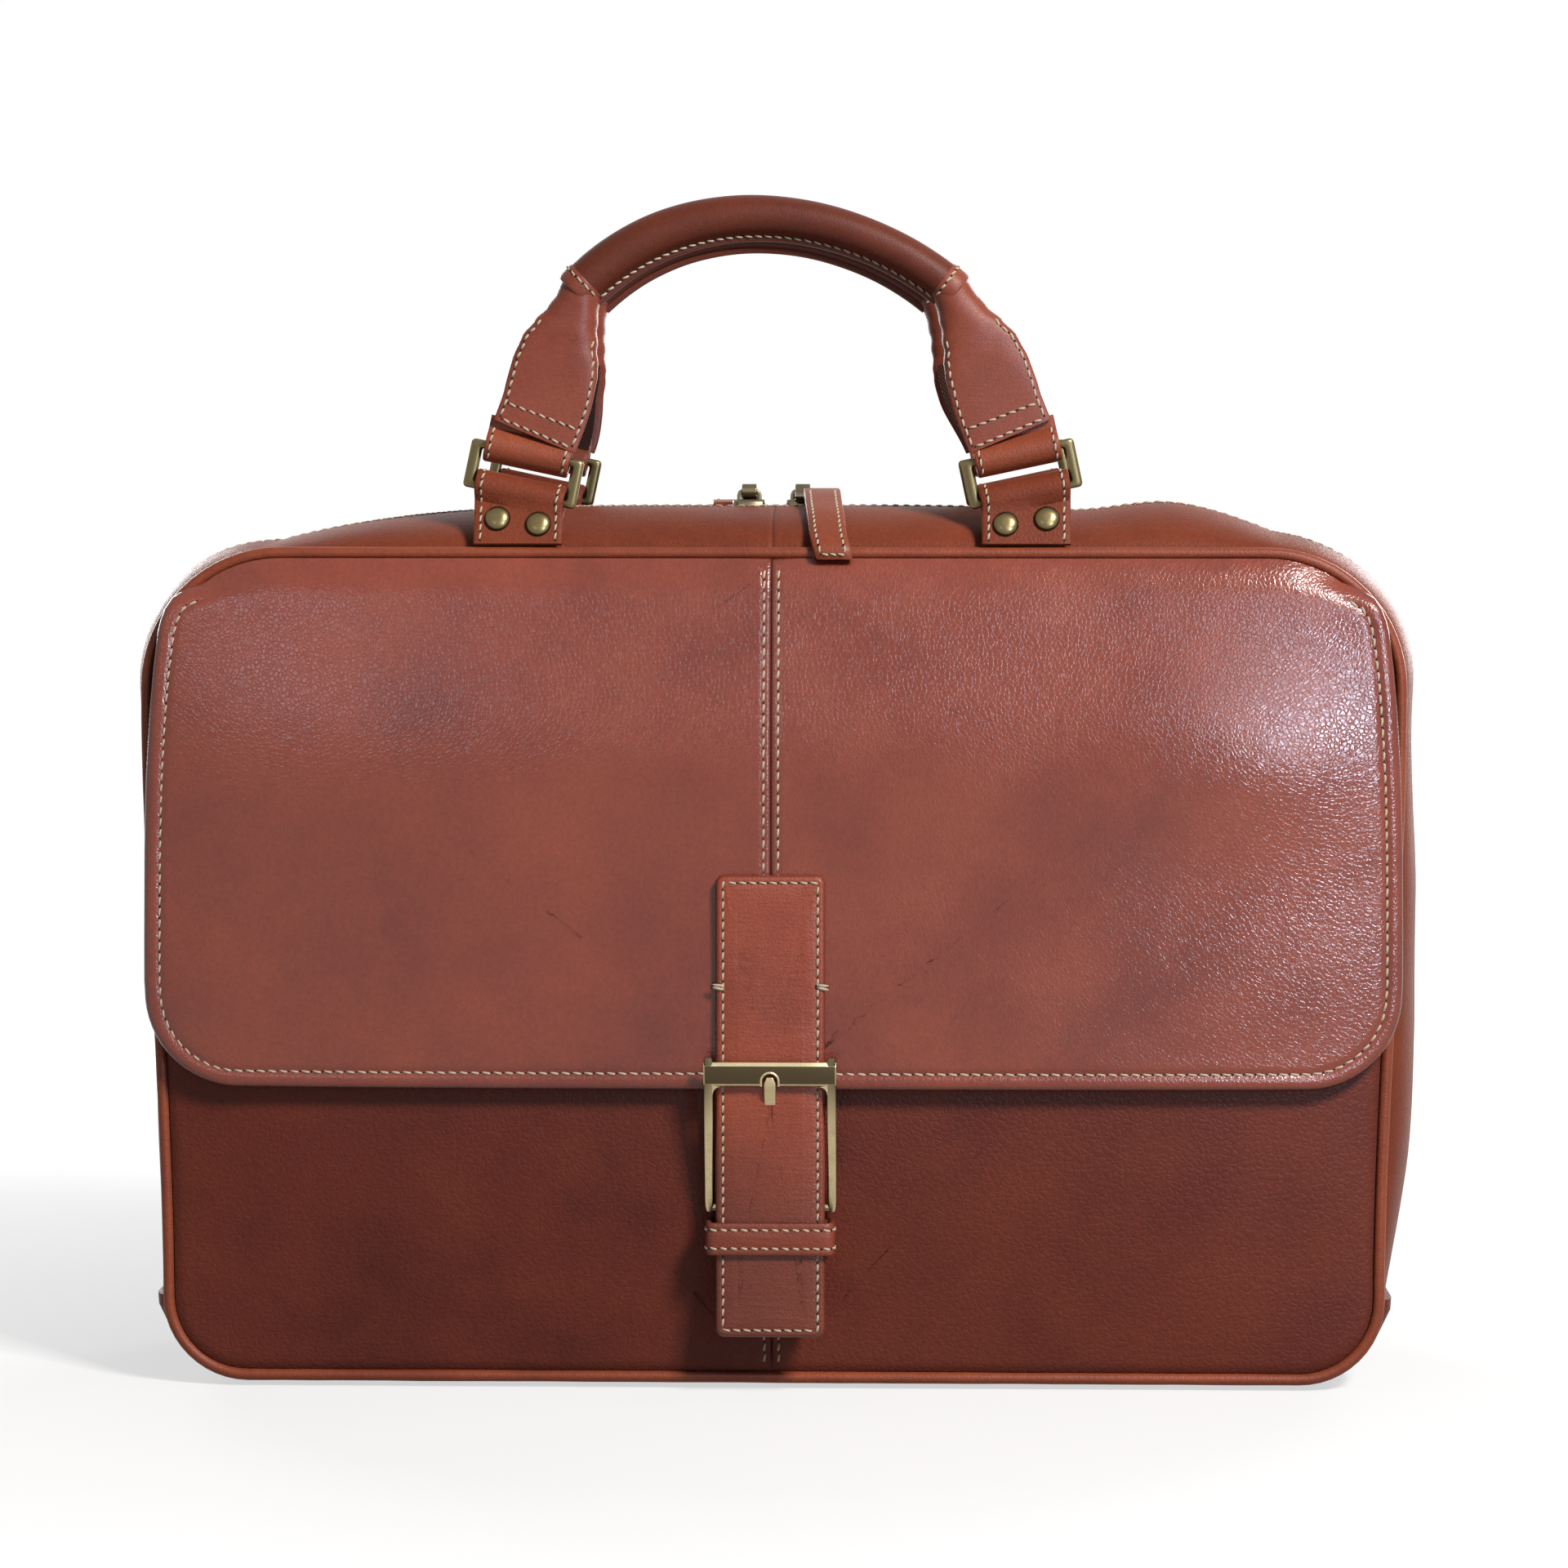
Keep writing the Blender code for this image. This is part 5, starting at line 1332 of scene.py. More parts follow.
def make_chape():
    line = folded_line(1.7 * MM, 1.2 * MM, 4.1 * MM, (36.9 * MM, 36.9 * MM))

    def place(along, across, up):
        return (along, HINGE_BAR_Y + across, HINGE_BAR_Z + up)

    piece = folded_strip("chape_leather", line, 1.2 * MM, 15 * MM, place, POCKET_LEATHER)
    half, front, back = 2.6 * MM, -68 * MM, -55 * MM
    slot_box = [(-half, front), (half, front), (half, back), (-half, back)]
    cut(piece, loft([[(x, y, z) for x, y in slot_box] for z in (56.7 * MM, 66.1 * MM)]))
    settle(piece, "flap", "dark_leather", "buckle_chape")


make_chape()
print("chape made")


# %% Keeper
def make_keeper():
    """A stitched band round the strap and the chape."""
    foot, height = 47 * MM, 10.6 * MM
    front = strap_front(foot) - 0.3 * MM
    back = HINGE_BAR_Y + 1.35 * MM + 0.3 * MM
    middle = (front + back) / 2
    half_x, half_y = 19.1 * MM, (back - front) / 2
    section = [(0, 0.5), (0.25, 0.12), (0.7, 0), (1.2, 0), (1.6, 0.15), (1.8, 0.55)]
    section += [(1.86, 1.6), (1.7, 2.3), (1.86, 3.1), (1.92, 5.3), (1.86, 7.5), (1.7, 8.3), (1.86, 9.0)]
    section += [(1.8, 10.05), (1.6, 10.45), (1.2, 10.6), (0.7, 10.6), (0.25, 10.48), (0, 10.1)]
    columns = []
    for out, z in section:
        box = rounded_box(half_x + out * MM, half_y + out * MM, (1.2 + out) * MM, 6, 8)
        columns.append([(x, middle + y, foot + z * MM) for x, y in box])
    rings = [list(ring) for ring in zip(*columns)]
    piece = new_object("keeper_band", loft(rings, loop=True), STRAP_LEATHER)
    paint(piece, lambda co: 0.3 + 0.4 * clamp(1 - min(co.z - foot, foot + height - co.z) / (0.6 * MM)))
    settle(piece, "flap", "tan_leather", "strap_keeper")
    box = rounded_box(half_x + 1.7 * MM, half_y + 1.7 * MM, 2.9 * MM, 6, 8)
    rows = []
    for z in (2.3, 8.3):
        row = []
        for (x, y), (nx, ny) in zip(box, normals(box, loop=True)):
            if y < half_y * 0.4:
                row.append((Vector((x, middle + y, foot + z * MM)), Vector((nx, ny, 0))))
        row.sort(key=lambda item: math.atan2(item[0].x, -(item[0].y - middle) + 0.004))
        rows.append(row)
    thread = stitch_rows("keeper_stitches", rows, THREAD, pitch=3.3, length=2.6, width=0.42)
    settle(thread, "flap", "webbing")


make_keeper()
print("strap set made")

# %% [markdown]
# ## Handles
#
# Each handle hangs on two rectangular rings. A ring's lower bar lies in a folded tab that is riveted and
# sewn to the top of the bag, and its upper bar lies in a folded loop at the end of the handle's leg. The
# rings lean, so tab and loop lean with them. Everything is placed from the ring's own two directions.
# Tabs are blended from the bag to the rings, and loops, legs and webbing from the rings to the handle,
# because their leather bends at the bars.

# %% Ring mounts
TAB_LEAN = math.radians(22)
RING_TILT = math.radians(12)
LOOP_BORE, LOOP_STRAP, LOOP_NECK = 3.4 * MM, 2.0 * MM, 5.6 * MM
TAB_HALF, TAB_TAILS = 14.5 * MM, (18.2 * MM, 12.4 * MM)
STACK = 2.15 * MM
RING_REACH = 13.6 * MM
RING_X, HANDLE_Y, RING_Z = 83 * MM, 43.2 * MM, 293.2 * MM
LEAN_FOOT, LEAN_SPAN = 306.5 * MM, 84.5 * MM
FOLD_STITCHES = {"pitch": 3.1, "length": 2.7, "width": 0.36}


def ring_mount(side, hand):
    """Where a ring hangs: its lower bar, its two directions in the ring's plane, and the way it faces."""
    return {
        "name": f"{SIDES[side]}_{HANDS[hand]}",
        "side": side,
        "hand": hand,
        "foot": Vector((hand * RING_X, side * HANDLE_Y, RING_Z)),
        "across": Vector((hand * math.cos(RING_TILT), 0, math.sin(RING_TILT))),
        "up": Vector((-hand * math.sin(RING_TILT), 0, math.cos(RING_TILT))),
        "out": Vector((0, side, 0)),
    }


def tab_place(mount, along, across, up):
    """A place on a handle tab: level where it is sewn in, tilted with the ring at its loop."""
    foot, side = mount["foot"], mount["side"]
    tilt = smoothstep((up + TAB_TAILS[0]) / (TAB_TAILS[0] - LOOP_NECK))
    lean = mount["hand"] * math.tan(RING_TILT) * tilt
    on_loop = smoothstep((up + LOOP_NECK) / (2.2 * MM))
    rise = up + along * lean * (1 - on_loop)
    y = foot.y + side * (across * math.cos(TAB_LEAN) - rise * math.sin(TAB_LEAN))
    height = across * math.sin(TAB_LEAN) + rise * math.cos(TAB_LEAN)
    x = foot.x + along - max(height, 0.0) * lean
    return Vector((x, y, foot.z + height + along * lean * on_loop))


def loop_place(mount, along, across, up):
    """A place on a handle's loop, which hangs on the ring's upper bar with its tails upwards."""
    top = mount["foot"] + mount["up"] * RING_REACH
    return top + mount["across"] * along + mount["out"] * across - mount["up"] * up


# %% Stitch lines and lean of the handles
def fold_edge_rows(place, foot, half, top=70):
    """Stitch lines up both edges of a folded strip's front, from a foot height to an angle on its fold."""
    front = [(STACK, lerp(foot, -LOOP_NECK - 0.4 * MM, k / 10)) for k in range(11)]
    front += arc((0, 0), LOOP_BORE + LOOP_STRAP, -28, top, 12)
    rows = []
    for along in (-half, half):
        row = []
        for across, up in front:
            here = place(along, across, up)
            if up < -LOOP_NECK:
                normal = place(along, across + MM, up) - here
            else:
                normal = here - place(along, 0, 0)
                here = place(along, across * 1.02, up)
            row.append((here, normal.normalized()))
        rows.append(row)
    return rows


def lean(piece, side):
    """A soft handle doesn't stand quite straight: it leans to the left towards its top."""
    root = 0.0 if side == FRONT else 3.2 * MM
    for vertex in piece.data.vertices:
        height = vertex.co.z - LEAN_FOOT
        vertex.co.x -= 7 * MM * clamp(height / LEAN_SPAN) ** 2.5 + root * smoothstep(height / (22 * MM))


MOUNTS = [ring_mount(side, hand) for side in (FRONT, BACK) for hand in (LEFT, RIGHT)]
print("mounts:", [m["name"] for m in MOUNTS])


# %% Tabs and rivets
def make_tab(mount):
    line = folded_line(LOOP_BORE, LOOP_STRAP, LOOP_NECK, TAB_TAILS)
    place = partial(tab_place, mount)
    name = mount["name"]
    piece = folded_strip(f"{name}_tab_leather", line, LOOP_STRAP, TAB_HALF, place, TAN_LEATHER)
    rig.replaces(piece, f"{name}_handle_tab")
    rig.slot(piece, "tan_leather")
    rows = fold_edge_rows(place, -17.4 * MM, 12.3 * MM)
    thread = stitch_rows(f"{name}_tab_stitches", rows, THREAD, margin=0.3, **FOLD_STITCHES)
    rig.slot(thread, "webbing")
    rings = f"{SIDES[mount['side']]}_rings"
    for made in (piece, thread):
        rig.blend(made, "bag", rings, start=place(0, 0, -7 * MM), end=place(0, 0, 1 * MM))


RIVET = [(2.0, 0.0), (2.02, 0.25), (1.9, 0.5), (1.6, 0.72), (1.2, 0.87), (0.75, 0.96), (0.4, 1.0)]
RIVET += [(0.12, 1.0), (-0.2, 0.97), (-0.3, 0.3), (-4.75, 0.3), (-4.75, 0.46), (-5.3, 0.46), (-5.4, 0.1)]
RIVET_STEPS = 28


def make_rivets(mount):
    for hand in (LEFT, RIGHT):
        along, up = hand * 6.7 * MM, -10.5 * MM
        centre = tab_place(mount, along, STACK + 0.25 * MM, up)
        through = (centre - tab_place(mount, along, 0.0, up)).normalized()
        side = Vector((1, 0, 0))
        up = through.cross(side).normalized()
        rings = []
        rim = []
        for height, share in RIVET:
            circle = arc((0, 0), 4.2 * MM * max(share, 0.02), 0, 360, RIVET_STEPS)[:-1]
            rings.append([centre + through * height * MM + side * c + up * s for c, s in circle])
            dark = 0.95 if share > 0.94 or height < 0 else lerp(0.0, 0.35, share)
            rim += [dark] * RIVET_STEPS
        name = f"{mount['name']}_{HANDS[hand]}_rivet"
        piece = new_object(f"{name}_head", loft(rings), RING_BRASS)
        paint_list(piece, rim)
        settle(piece, "bag", "antique_brass", name)


for mount in MOUNTS:
    make_tab(mount)
    make_rivets(mount)
print("tabs and rivets made")


# %% Rings and loops
def make_ring(mount):
    """A flat ring: broad side bars with a bright chamfer, and thinner cross bars."""
    centre = mount["foot"] + mount["up"] * RING_REACH / 2
    corners = rounded_box(18.8 * MM, 8.1 * MM, 1.4 * MM, 4, 6)
    inner = rounded_box(15.0 * MM, 5.6 * MM, 0.9 * MM, 4, 6)
    section = [(0.0, 1.1), (0.12, 1.55), (0.3, 1.8), (0.7, 1.8), (0.88, 1.55), (1.0, 1.1)]
    section += [(share, -depth) for share, depth in reversed(section)]
    rings = []
    rim = []
    for far, near in zip(corners, inner):
        ring = []
        for share, depth in section:
            a, b = lerp(far[0], near[0], share), lerp(far[1], near[1], share)
            ring.append(centre + mount["across"] * a + mount["up"] * b + mount["out"] * depth * MM)
            rim.append(0.55 if 0.25 < share < 0.75 else 0.05)
        rings.append(ring)
    piece = new_object(f"{mount['name']}_ring_metal", loft(rings, loop=True), RING_BRASS, 40)
    paint_list(piece, rim)
    settle(piece, f"{SIDES[mount['side']]}_rings", "antique_brass", f"{mount['name']}_ring")


def hang(mount, piece):
    """Lets a piece of a handle's foot lean, and bend between the ring's upper bar and the handle."""
    lean(piece, mount["side"])
    side = SIDES[mount["side"]]
    low, high = (loop_place(mount, 0, 0, -height * MM) for height in (0.5, 8.5))
    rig.blend(piece, f"{side}_rings", f"{side}_handle", start=low, end=high)


def make_loop(mount):
    line = folded_line(LOOP_BORE, LOOP_STRAP, LOOP_NECK, (10 * MM, 10 * MM))
    place = partial(loop_place, mount)
    name = mount["name"]
    piece = folded_strip(f"{name}_loop_leather", line, LOOP_STRAP, 14.1 * MM, place, EDGE_LEATHER)
    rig.replaces(piece, f"{name}_handle_loop")
    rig.slot(piece, "piping_leather")
    rows = fold_edge_rows(place, -7 * MM, 12.4 * MM, 60)
    thread = stitch_rows(f"{name}_loop_stitches", rows, THREAD, margin=0.2, **FOLD_STITCHES)
    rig.slot(thread, "webbing")
    for made in (piece, thread):
        hang(mount, made)


for mount in MOUNTS:
    make_ring(mount)
    make_loop(mount)
print("rings and loops made")

# %% [markdown]
# A leg is a layer of leather over the loop's tail. It starts flat and broad, swells at its shoulder and
# closes to a round end, where a stitched cuff meets the grip. It is lofted along a curve from the ring
# to the grip, and the folds at the shoulder are pressed in by shifting points along their normals.

# %% Leg shapes
GRIP_TOP, GRIP_RADIUS, GRIP_SPAN, GRIP_ARCH = 391 * MM, 6.7 * MM, 60 * MM, 22.8 * MM
GRIP_BEND = (GRIP_SPAN ** 2 + GRIP_ARCH ** 2) / (2 * GRIP_ARCH)
LEG_WIDTHS = [(0.0, 14.4), (0.1, 14.5), (0.3, 14.2), (0.45, 13.2), (0.6, 10.9), (0.74, 8.6), (0.88, 7.1)]
LEG_WIDTHS += [(1.0, 6.6)]
LEG_LINE = [(80.2, 306.5), (76.8, 314.5), (73.8, 322.5), (71.5, 331), (69.0, 339.5), (65.6, 347.5)]
LEG_LINE += [(62.6, 354.5), (60, 361.2)]
LEG_FLAT = 16 * MM
LEG_STEPS = 36
HANDLE_STITCHES = {"pitch": 3.2, "length": 2.75}


def smooth_line(points, steps):
    """A round curve through points."""
    ends = [points[0] * 2 - points[1]] + points + [points[-1] * 2 - points[-2]]
    found = []
    for k in range(1, len(ends) - 2):
        before, low, high, after = ends[k - 1:k + 3]
        for n in range(steps):
            t = n / steps
            bend = (high - before) * (t - 2 * t * t + t ** 3) / 2 + (after - low) * (t ** 3 - t * t) / 2
            found.append(low.lerp(high, 3 * t * t - 2 * t ** 3) + bend)
    return found + [points[-1]]


def leg_path(mount):
    """Points up the middle of a handle leg, from the ring's upper bar to the end of the grip."""
    y = mount["foot"].y
    return smooth_line([Vector((mount["hand"] * x * MM, y, z * MM)) for x, z in LEG_LINE], 8)


def place_along(path, distance):
    """The point at a distance along a path, and the way the path runs there."""
    for low, high in zip(path, path[1:]):
        step = (high - low).length
        if distance <= step:
            break
        distance -= step
    way = (high - low).normalized()
    return low + way * min(distance, step), way


def path_length(path):
    return sum((b - a).length for a, b in zip(path, path[1:]))


# %% Leg sections
def leg_share(distance, length):
    """Share of a leg's free length at a distance along it, 0 where it is flat."""
    return clamp((distance - LEG_FLAT) / (length - LEG_FLAT))


def leg_section(share):
    """Half width, half thickness, offset and roundness of a leg at a share of its free length."""
    round_off = smoothstep(share)
    half = lerp(1.1 * MM, 6.45 * MM, round_off)
    width = interpolate(LEG_WIDTHS, share) * MM
    return width, half, 3.55 * MM * (1 - round_off), round_off


def leg_ring(mount, path, distance, length):
    share = leg_share(distance, length)
    width, half, offset, round_off = leg_section(share)
    folds = smoothstep((share - 0.25) / 0.2) * (1 - smoothstep((share - 0.8) / 0.15))
    centre, way = place_along(path, distance)
    side = way.cross(mount["out"]).normalized()
    ring = []
    power = lerp(0.5, 0.95, round_off)
    for k in range(LEG_STEPS):
        a = 2 * math.pi * (k + 0.5) / LEG_STEPS
        across = math.copysign(abs(math.cos(a)) ** power, math.cos(a))
        through = math.copysign(abs(math.sin(a)) ** power, math.sin(a))
        point = centre + side * width * across + mount["out"] * (offset + half * through)
        fold = ripple(point, 7 * MM, 41 + mount["hand"]) * folds
        flat = 0.12 * ripple(point, 12 * MM, 43) if share < 0.4 else 0.0
        push = (0.4 * fold + flat) * MM
        ring.append(point + (side * across * 0.4 + mount["out"] * through) * push)
    return ring


# %% Legs
def make_leg(mount):
    path = leg_path(mount)
    length = path_length(path)
    distances = [6.0 * MM, 6.15 * MM]
    distances += [lerp(6.6 * MM, length - 1.4 * MM, k / 34) for k in range(35)]
    distances += [length - 0.7 * MM, length - 0.3 * MM]
    rings = [leg_ring(mount, path, distance, length) for distance in distances]
    first = sum(rings[1], Vector()) / len(rings[1])
    rings[0] = [first + (p - first) * 0.98 for p in rings[0]]
    piece = new_object(f"{mount['name']}_leg_leather", loft(rings), HANDLE_LEATHER)
    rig.replaces(piece, f"{mount['name']}_handle_leg")
    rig.slot(piece, "tan_leather")
    webbing = []
    for k in range(13):
        distance = lerp(6 * MM, 36 * MM, k / 12)
        centre, way = place_along(path, distance)
        side = way.cross(mount["out"]).normalized()
        inside = leg_section(leg_share(distance, length))[0] - 1.8 * MM
        box = rounded_box(min(12.5 * MM, inside), 0.7 * MM, 0.3 * MM, 2, 5)
        webbing.append([centre + side * a + mount["out"] * (b - 3.15 * MM) for a, b in box])
    band = new_object(f"{mount['name']}_leg_webbing", loft(webbing), WEBBING)
    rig.replaces(band, f"{mount['name']}_handle_webbing")
    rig.slot(band, "webbing")
    for made in (piece, band, leg_stitches(mount, path, length)):
        hang(mount, made)


def leg_stitches(mount, path, length):
    """Border rows up both edges of a leg, and two cross rows where it is sewn to its loop."""

    def on_leg(distance, across):
        width, half, offset, round_off = leg_section(leg_share(distance, length))
        centre, way = place_along(path, distance)
        side = way.cross(mount["out"]).normalized()
        power = lerp(0.5, 0.95, round_off)
        part = clamp(across, -0.98, 0.98)
        through = (1 - abs(part) ** (2 / power)) ** (power / 2)
        place = centre + side * width * part + mount["out"] * (offset + half * through)
        tilt = round_off * part * half / max(width, half)
        return place, (mount["out"] + side * tilt * 1.2).normalized()

    rows = []
    for hand in (LEFT, RIGHT):
        row = []
        for k in range(41):
            distance = lerp(7.5 * MM, length - 15 * MM, k / 40)
            width = leg_section(leg_share(distance, length))[0]
            row.append(on_leg(distance, hand * (1 - 1.7 * MM / width)))
        rows.append(row)
    for distance in (7.3 * MM, 13.2 * MM):
        rows.append([on_leg(distance, lerp(-0.86, 0.86, k / 20)) for k in range(21)])
    lifted = [[(p + n * 0.02 * MM, n) for p, n in row] for row in rows]
    name = f"{mount['name']}_leg_stitches"
    thread = stitch_rows(name, lifted, THREAD, width=0.38, margin=0.4, **HANDLE_STITCHES)
    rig.slot(thread, "webbing")
    return thread


for mount in MOUNTS:
    make_leg(mount)
print("legs made")


# %% Grip shapes
GRIP_LIMIT = math.asin(GRIP_SPAN / GRIP_BEND)
FIN = [(-1.45, -6.8), (-1.35, -7.6), (-1.15, -8.3), (-0.6, -8.6)]
CUFF = [(-2.6, 6.4), (-2.4, 6.8), (-1.9, 6.98), (0, 7.02), (2.0, 7.0), (2.8, 6.9), (3.4, 6.7), (3.6, 6.4)]
GRIP_STEPS, CUFF_STEPS = 64, 32


def grip_spoke(turn):
    """The way from the centre of the grip's arch to a place on it."""
    return Vector((math.sin(turn), 0, math.cos(turn)))


def grip_centre(side):
    return Vector((0, side * HANDLE_Y, GRIP_TOP - GRIP_RADIUS - GRIP_BEND))


def make_tube(side):
    """The grip itself: a leather tube along an arch, sewn in a fin along its underside."""
    centre = grip_centre(side)
    profile = arc((0, 0), GRIP_RADIUS, -72, 252, 30)
    profile += [(a * MM, b * MM) for a, b in FIN + [(-a, b) for a, b in reversed(FIN)]]
    rings = []
    for k in range(GRIP_STEPS + 1):
        out = grip_spoke(GRIP_LIMIT * (2 * k / GRIP_STEPS - 1))
        ring = []
        for across, up in profile:
            here = centre + out * (GRIP_BEND + up) + Vector((0, across, 0))
            swell = 1 + 0.012 * ripple(here, 16 * MM, 51)
            ring.append(centre + out * (GRIP_BEND + up * swell) + Vector((0, across * swell, 0)))
        rings.append(ring)
    return new_object(f"{SIDES[side]}_grip_leather", loft(rings), GRIP_LEATHER)


def make_cuffs(side):
    """The stitched bands where the legs meet the grip."""
    mesh = bmesh.new()
    for hand in (LEFT, RIGHT):
        rings = []
        for along, radius in CUFF:
            out = grip_spoke(hand * (GRIP_LIMIT + along * MM / GRIP_BEND))
            circle = arc((0, 0), radius * MM, 0, 360, CUFF_STEPS)[:-1]
            rings.append([grip_centre(side) + out * (GRIP_BEND + b) + Vector((0, a, 0)) for a, b in circle])
        loft_into(mesh, rings)
    return new_object(f"{SIDES[side]}_grip_cuffs", mesh, HANDLE_LEATHER)


# %% Grips
def grip_rows(side):
    """Stitch lines along the fin and round both cuffs."""
    centre = grip_centre(side)
    row = []
    for k in range(GRIP_STEPS + 1):
        out = grip_spoke(GRIP_LIMIT * 0.985 * (2 * k / GRIP_STEPS - 1))
        outward = (Vector((0, side, 0)) - out * 0.25).normalized()
        row.append((centre + out * (GRIP_BEND - 6.9 * MM) + Vector((0, side * 1.75 * MM, 0)), outward))
    rows = [row]
    for hand in (LEFT, RIGHT):
        out = grip_spoke(hand * (GRIP_LIMIT - 0.9 * MM / GRIP_BEND))
        row = []
        for across, up in arc((0, 0), 1.0, -60, 240, 24):
            normal = out * up + Vector((0, across, 0))
            row.append((centre + out * GRIP_BEND + normal * 6.98 * MM, normal))
        rows.append(row)
    return rows


def make_grip(side):
    name = SIDES[side]
    body = f"{name}_handle"
    piece = make_tube(side)
    settle(piece, body, "tan_leather", f"{name}_handle_grip")
    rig.padded(piece, fill=0.9)
    cuffs = make_cuffs(side)
    settle(cuffs, body, "tan_leather", f"{name}_handle_grip")
    sizes = {"width": 0.36, "margin": 0.6, **HANDLE_STITCHES}
    thread = stitch_rows(f"{name}_grip_stitches", grip_rows(side), THREAD, **sizes)
    settle(thread, body, "webbing")
    for made in (piece, cuffs, thread):
        lean(made, side)
    print(piece.name, len(piece.data.vertices), "vertices")


for side in (FRONT, BACK):
    make_grip(side)

# %% [markdown]
# ## The zip
#
# Between the gussets lies a brass zip on woven tape, with two sliders that meet in the middle. The teeth
# could be an instanced array on a curve, but the path's crown changes along the way, so each tooth is
# set on its own station.

# %% Tapes and teeth
TAPE_DEPTHS = [14, 11, 8.5, 6, 4, 2, 0.3]
TOOTH = [(-0.55, 0.35, 0.5), (-0.35, 0.5, 0.75), (0.9, 0.5, 0.8)]
TOOTH += [(1.3, 0.62, 0.95), (2.3, 0.62, 0.95), (2.55, 0.45, 0.7)]


def make_tape(side):
    rings = []
    for station in STATIONS:
        tops = [(depth * MM, crown_height(depth * MM, station[2]) - 2.3 * MM) for depth in TAPE_DEPTHS]
        upper = [on_strip(station, side, depth, top) for depth, top in tops]
        lower = [on_strip(station, side, depth, top - MM) for depth, top in tops]
        rings.append(upper + lower[::-1])
    name = SIDES[side]
    piece = new_object(f"{name}_tape_cloth", loft(rings), ZIP_TAPE)
    settle(piece, "bag", "zip_tape", f"{name}_zip_tape")


def make_teeth():
    """Teeth on both tapes, each reaching a little past the middle, in turn."""
    middle = []
    for station in STATIONS:
        base = on_strip(station, BACK, 0.0, station[2] - 1.3 * MM)
        middle.append((base, Vector((station[1][0], 0, station[1][1]))))
    mesh = bmesh.new()
    places = walk(middle, 1.25 * MM, 1.5 * MM)
    for n, (place, way, up) in enumerate(places):
        depth = Vector((0, FRONT if n % 2 else BACK, 0))
        rings = []
        for across, half, height in TOOTH:
            corners = rounded_box(half * MM, height * MM, 0.2 * MM, 1)
            rings.append([place + depth * across * MM + way * a + up * b for a, b in corners])
        loft_into(mesh, rings)
    settle(new_object("zip_teeth", mesh, DARK_BRASS), "bag", "antique_brass", "zip_chain")
    print("zip:", len(places), "teeth")


for side in (FRONT, BACK):
    make_tape(side)
make_teeth()

# %% [markdown]
# A slider is a small cast saddle over the teeth with a bridge on top. Its metal link carries a leather
# pull, which lies over the gusset and ends on the piping. The left one lies to the back.

# %% Sliders
BRIDGE_Z = 293.8 * MM
SLIDER_X = 9 * MM
SADDLE = [(-5.5, 4.2, 290.5), (-5.3, 4.8, 290.8), (-4.4, 5.4, 291.0), (0, 5.7, 291.1)]
SADDLE += [(3.2, 5.5, 291.0), (4.9, 4.6, 290.9), (5.4, 3.9, 290.6), (5.5, 3.4, 290.4)]
BRIDGE = [(-3.4, 290.6), (-3.4, 292.6), (-3.1, 293.3), (-2.4, 293.8), (0, 293.9)]
PULL_LINE = [(-8.4, 291.1), (-15.0, 290.8), (-22.1, 290.0), (-28.4, 288.9), (-34.2, 287.3), (-39.2, 285.5)]
PULL_LINE += [(-43.4, 283.3), (-47.9, 280.5), (-50.6, 278.7), (-52.0, 277.4), (-53.2, 276.1)]
PULL_LINE += [(-53.8, 275.0), (-53.9, 273.6), (-53.9, 272.0)]
PULL_CROSS = [(-1.0, 0.5), (-0.985, 0.85), (-0.95, 1.0), (-0.5, 1.03), (0.0, 1.04)]
PULL_CROSS += [(-a, b) for a, b in PULL_CROSS[3::-1]]
PULL_HALF, PULL_THICK, PULL_SEAM = 6.1 * MM, 1.5 * MM, 4.1 * MM


def make_slider(hand):
    name = f"{HANDS[hand]}_slider"
    x = hand * SLIDER_X
    mesh = bmesh.new()
    rings = []
    for along, half, top in SADDLE:
        right = [(2.9, 288.9), (2.9, 287.2), (half, 287.2), (half, top - 1.0)]
        right += [(half - 0.35, top - 0.4), (half - 1.2, top), (0, top + 0.1)]
        outline = right + [(-depth, height) for depth, height in reversed(right[:-1])]
        rings.append([(x + hand * along * MM, depth * MM, height * MM) for depth, height in outline])
    loft_into(mesh, rings)
    line = BRIDGE + [(-a, b) for a, b in BRIDGE[3::-1]]
    path = [Vector((x + a * MM, 0, b * MM)) for a, b in line]
    bar = rounded_box(1.1 * MM, 0.8 * MM, 0.4 * MM, 3)
    loft_into(mesh, sweep(path, lambda share: bar, Vector((0, 1, 0))))
    settle(new_object(f"{name}_body", mesh, DARK_BRASS, 40), name, "antique_brass", name)


# %% Pulls
def make_link(hand, side):
    """The metal link, folded round the slider's bridge with its tails towards the pull."""
    name = HANDS[hand]
    pivot = Vector((hand * SLIDER_X, 0, BRIDGE_Z))
    y, z = PULL_LINE[0]
    tail = Vector((0, -side * y * MM, z * MM)) - Vector((0, 0, BRIDGE_Z))
    down = tail.normalized()
    across_way = Vector((0, -down.z, down.y))
    bore = 1.66 * MM
    line = folded_line(bore, 0.8 * MM, bore + 1.6 * MM, (tail.length - 0.3 * MM,) * 2)

    def place(along, across, up):
        return pivot + Vector((along, 0, 0)) + across_way * across - down * up

    link = folded_strip(f"{name}_link_metal", line, 0.8 * MM, 2.5 * MM, place, DARK_BRASS)
    settle(link, f"{name}_pull", "antique_brass", f"{name}_pull_link")


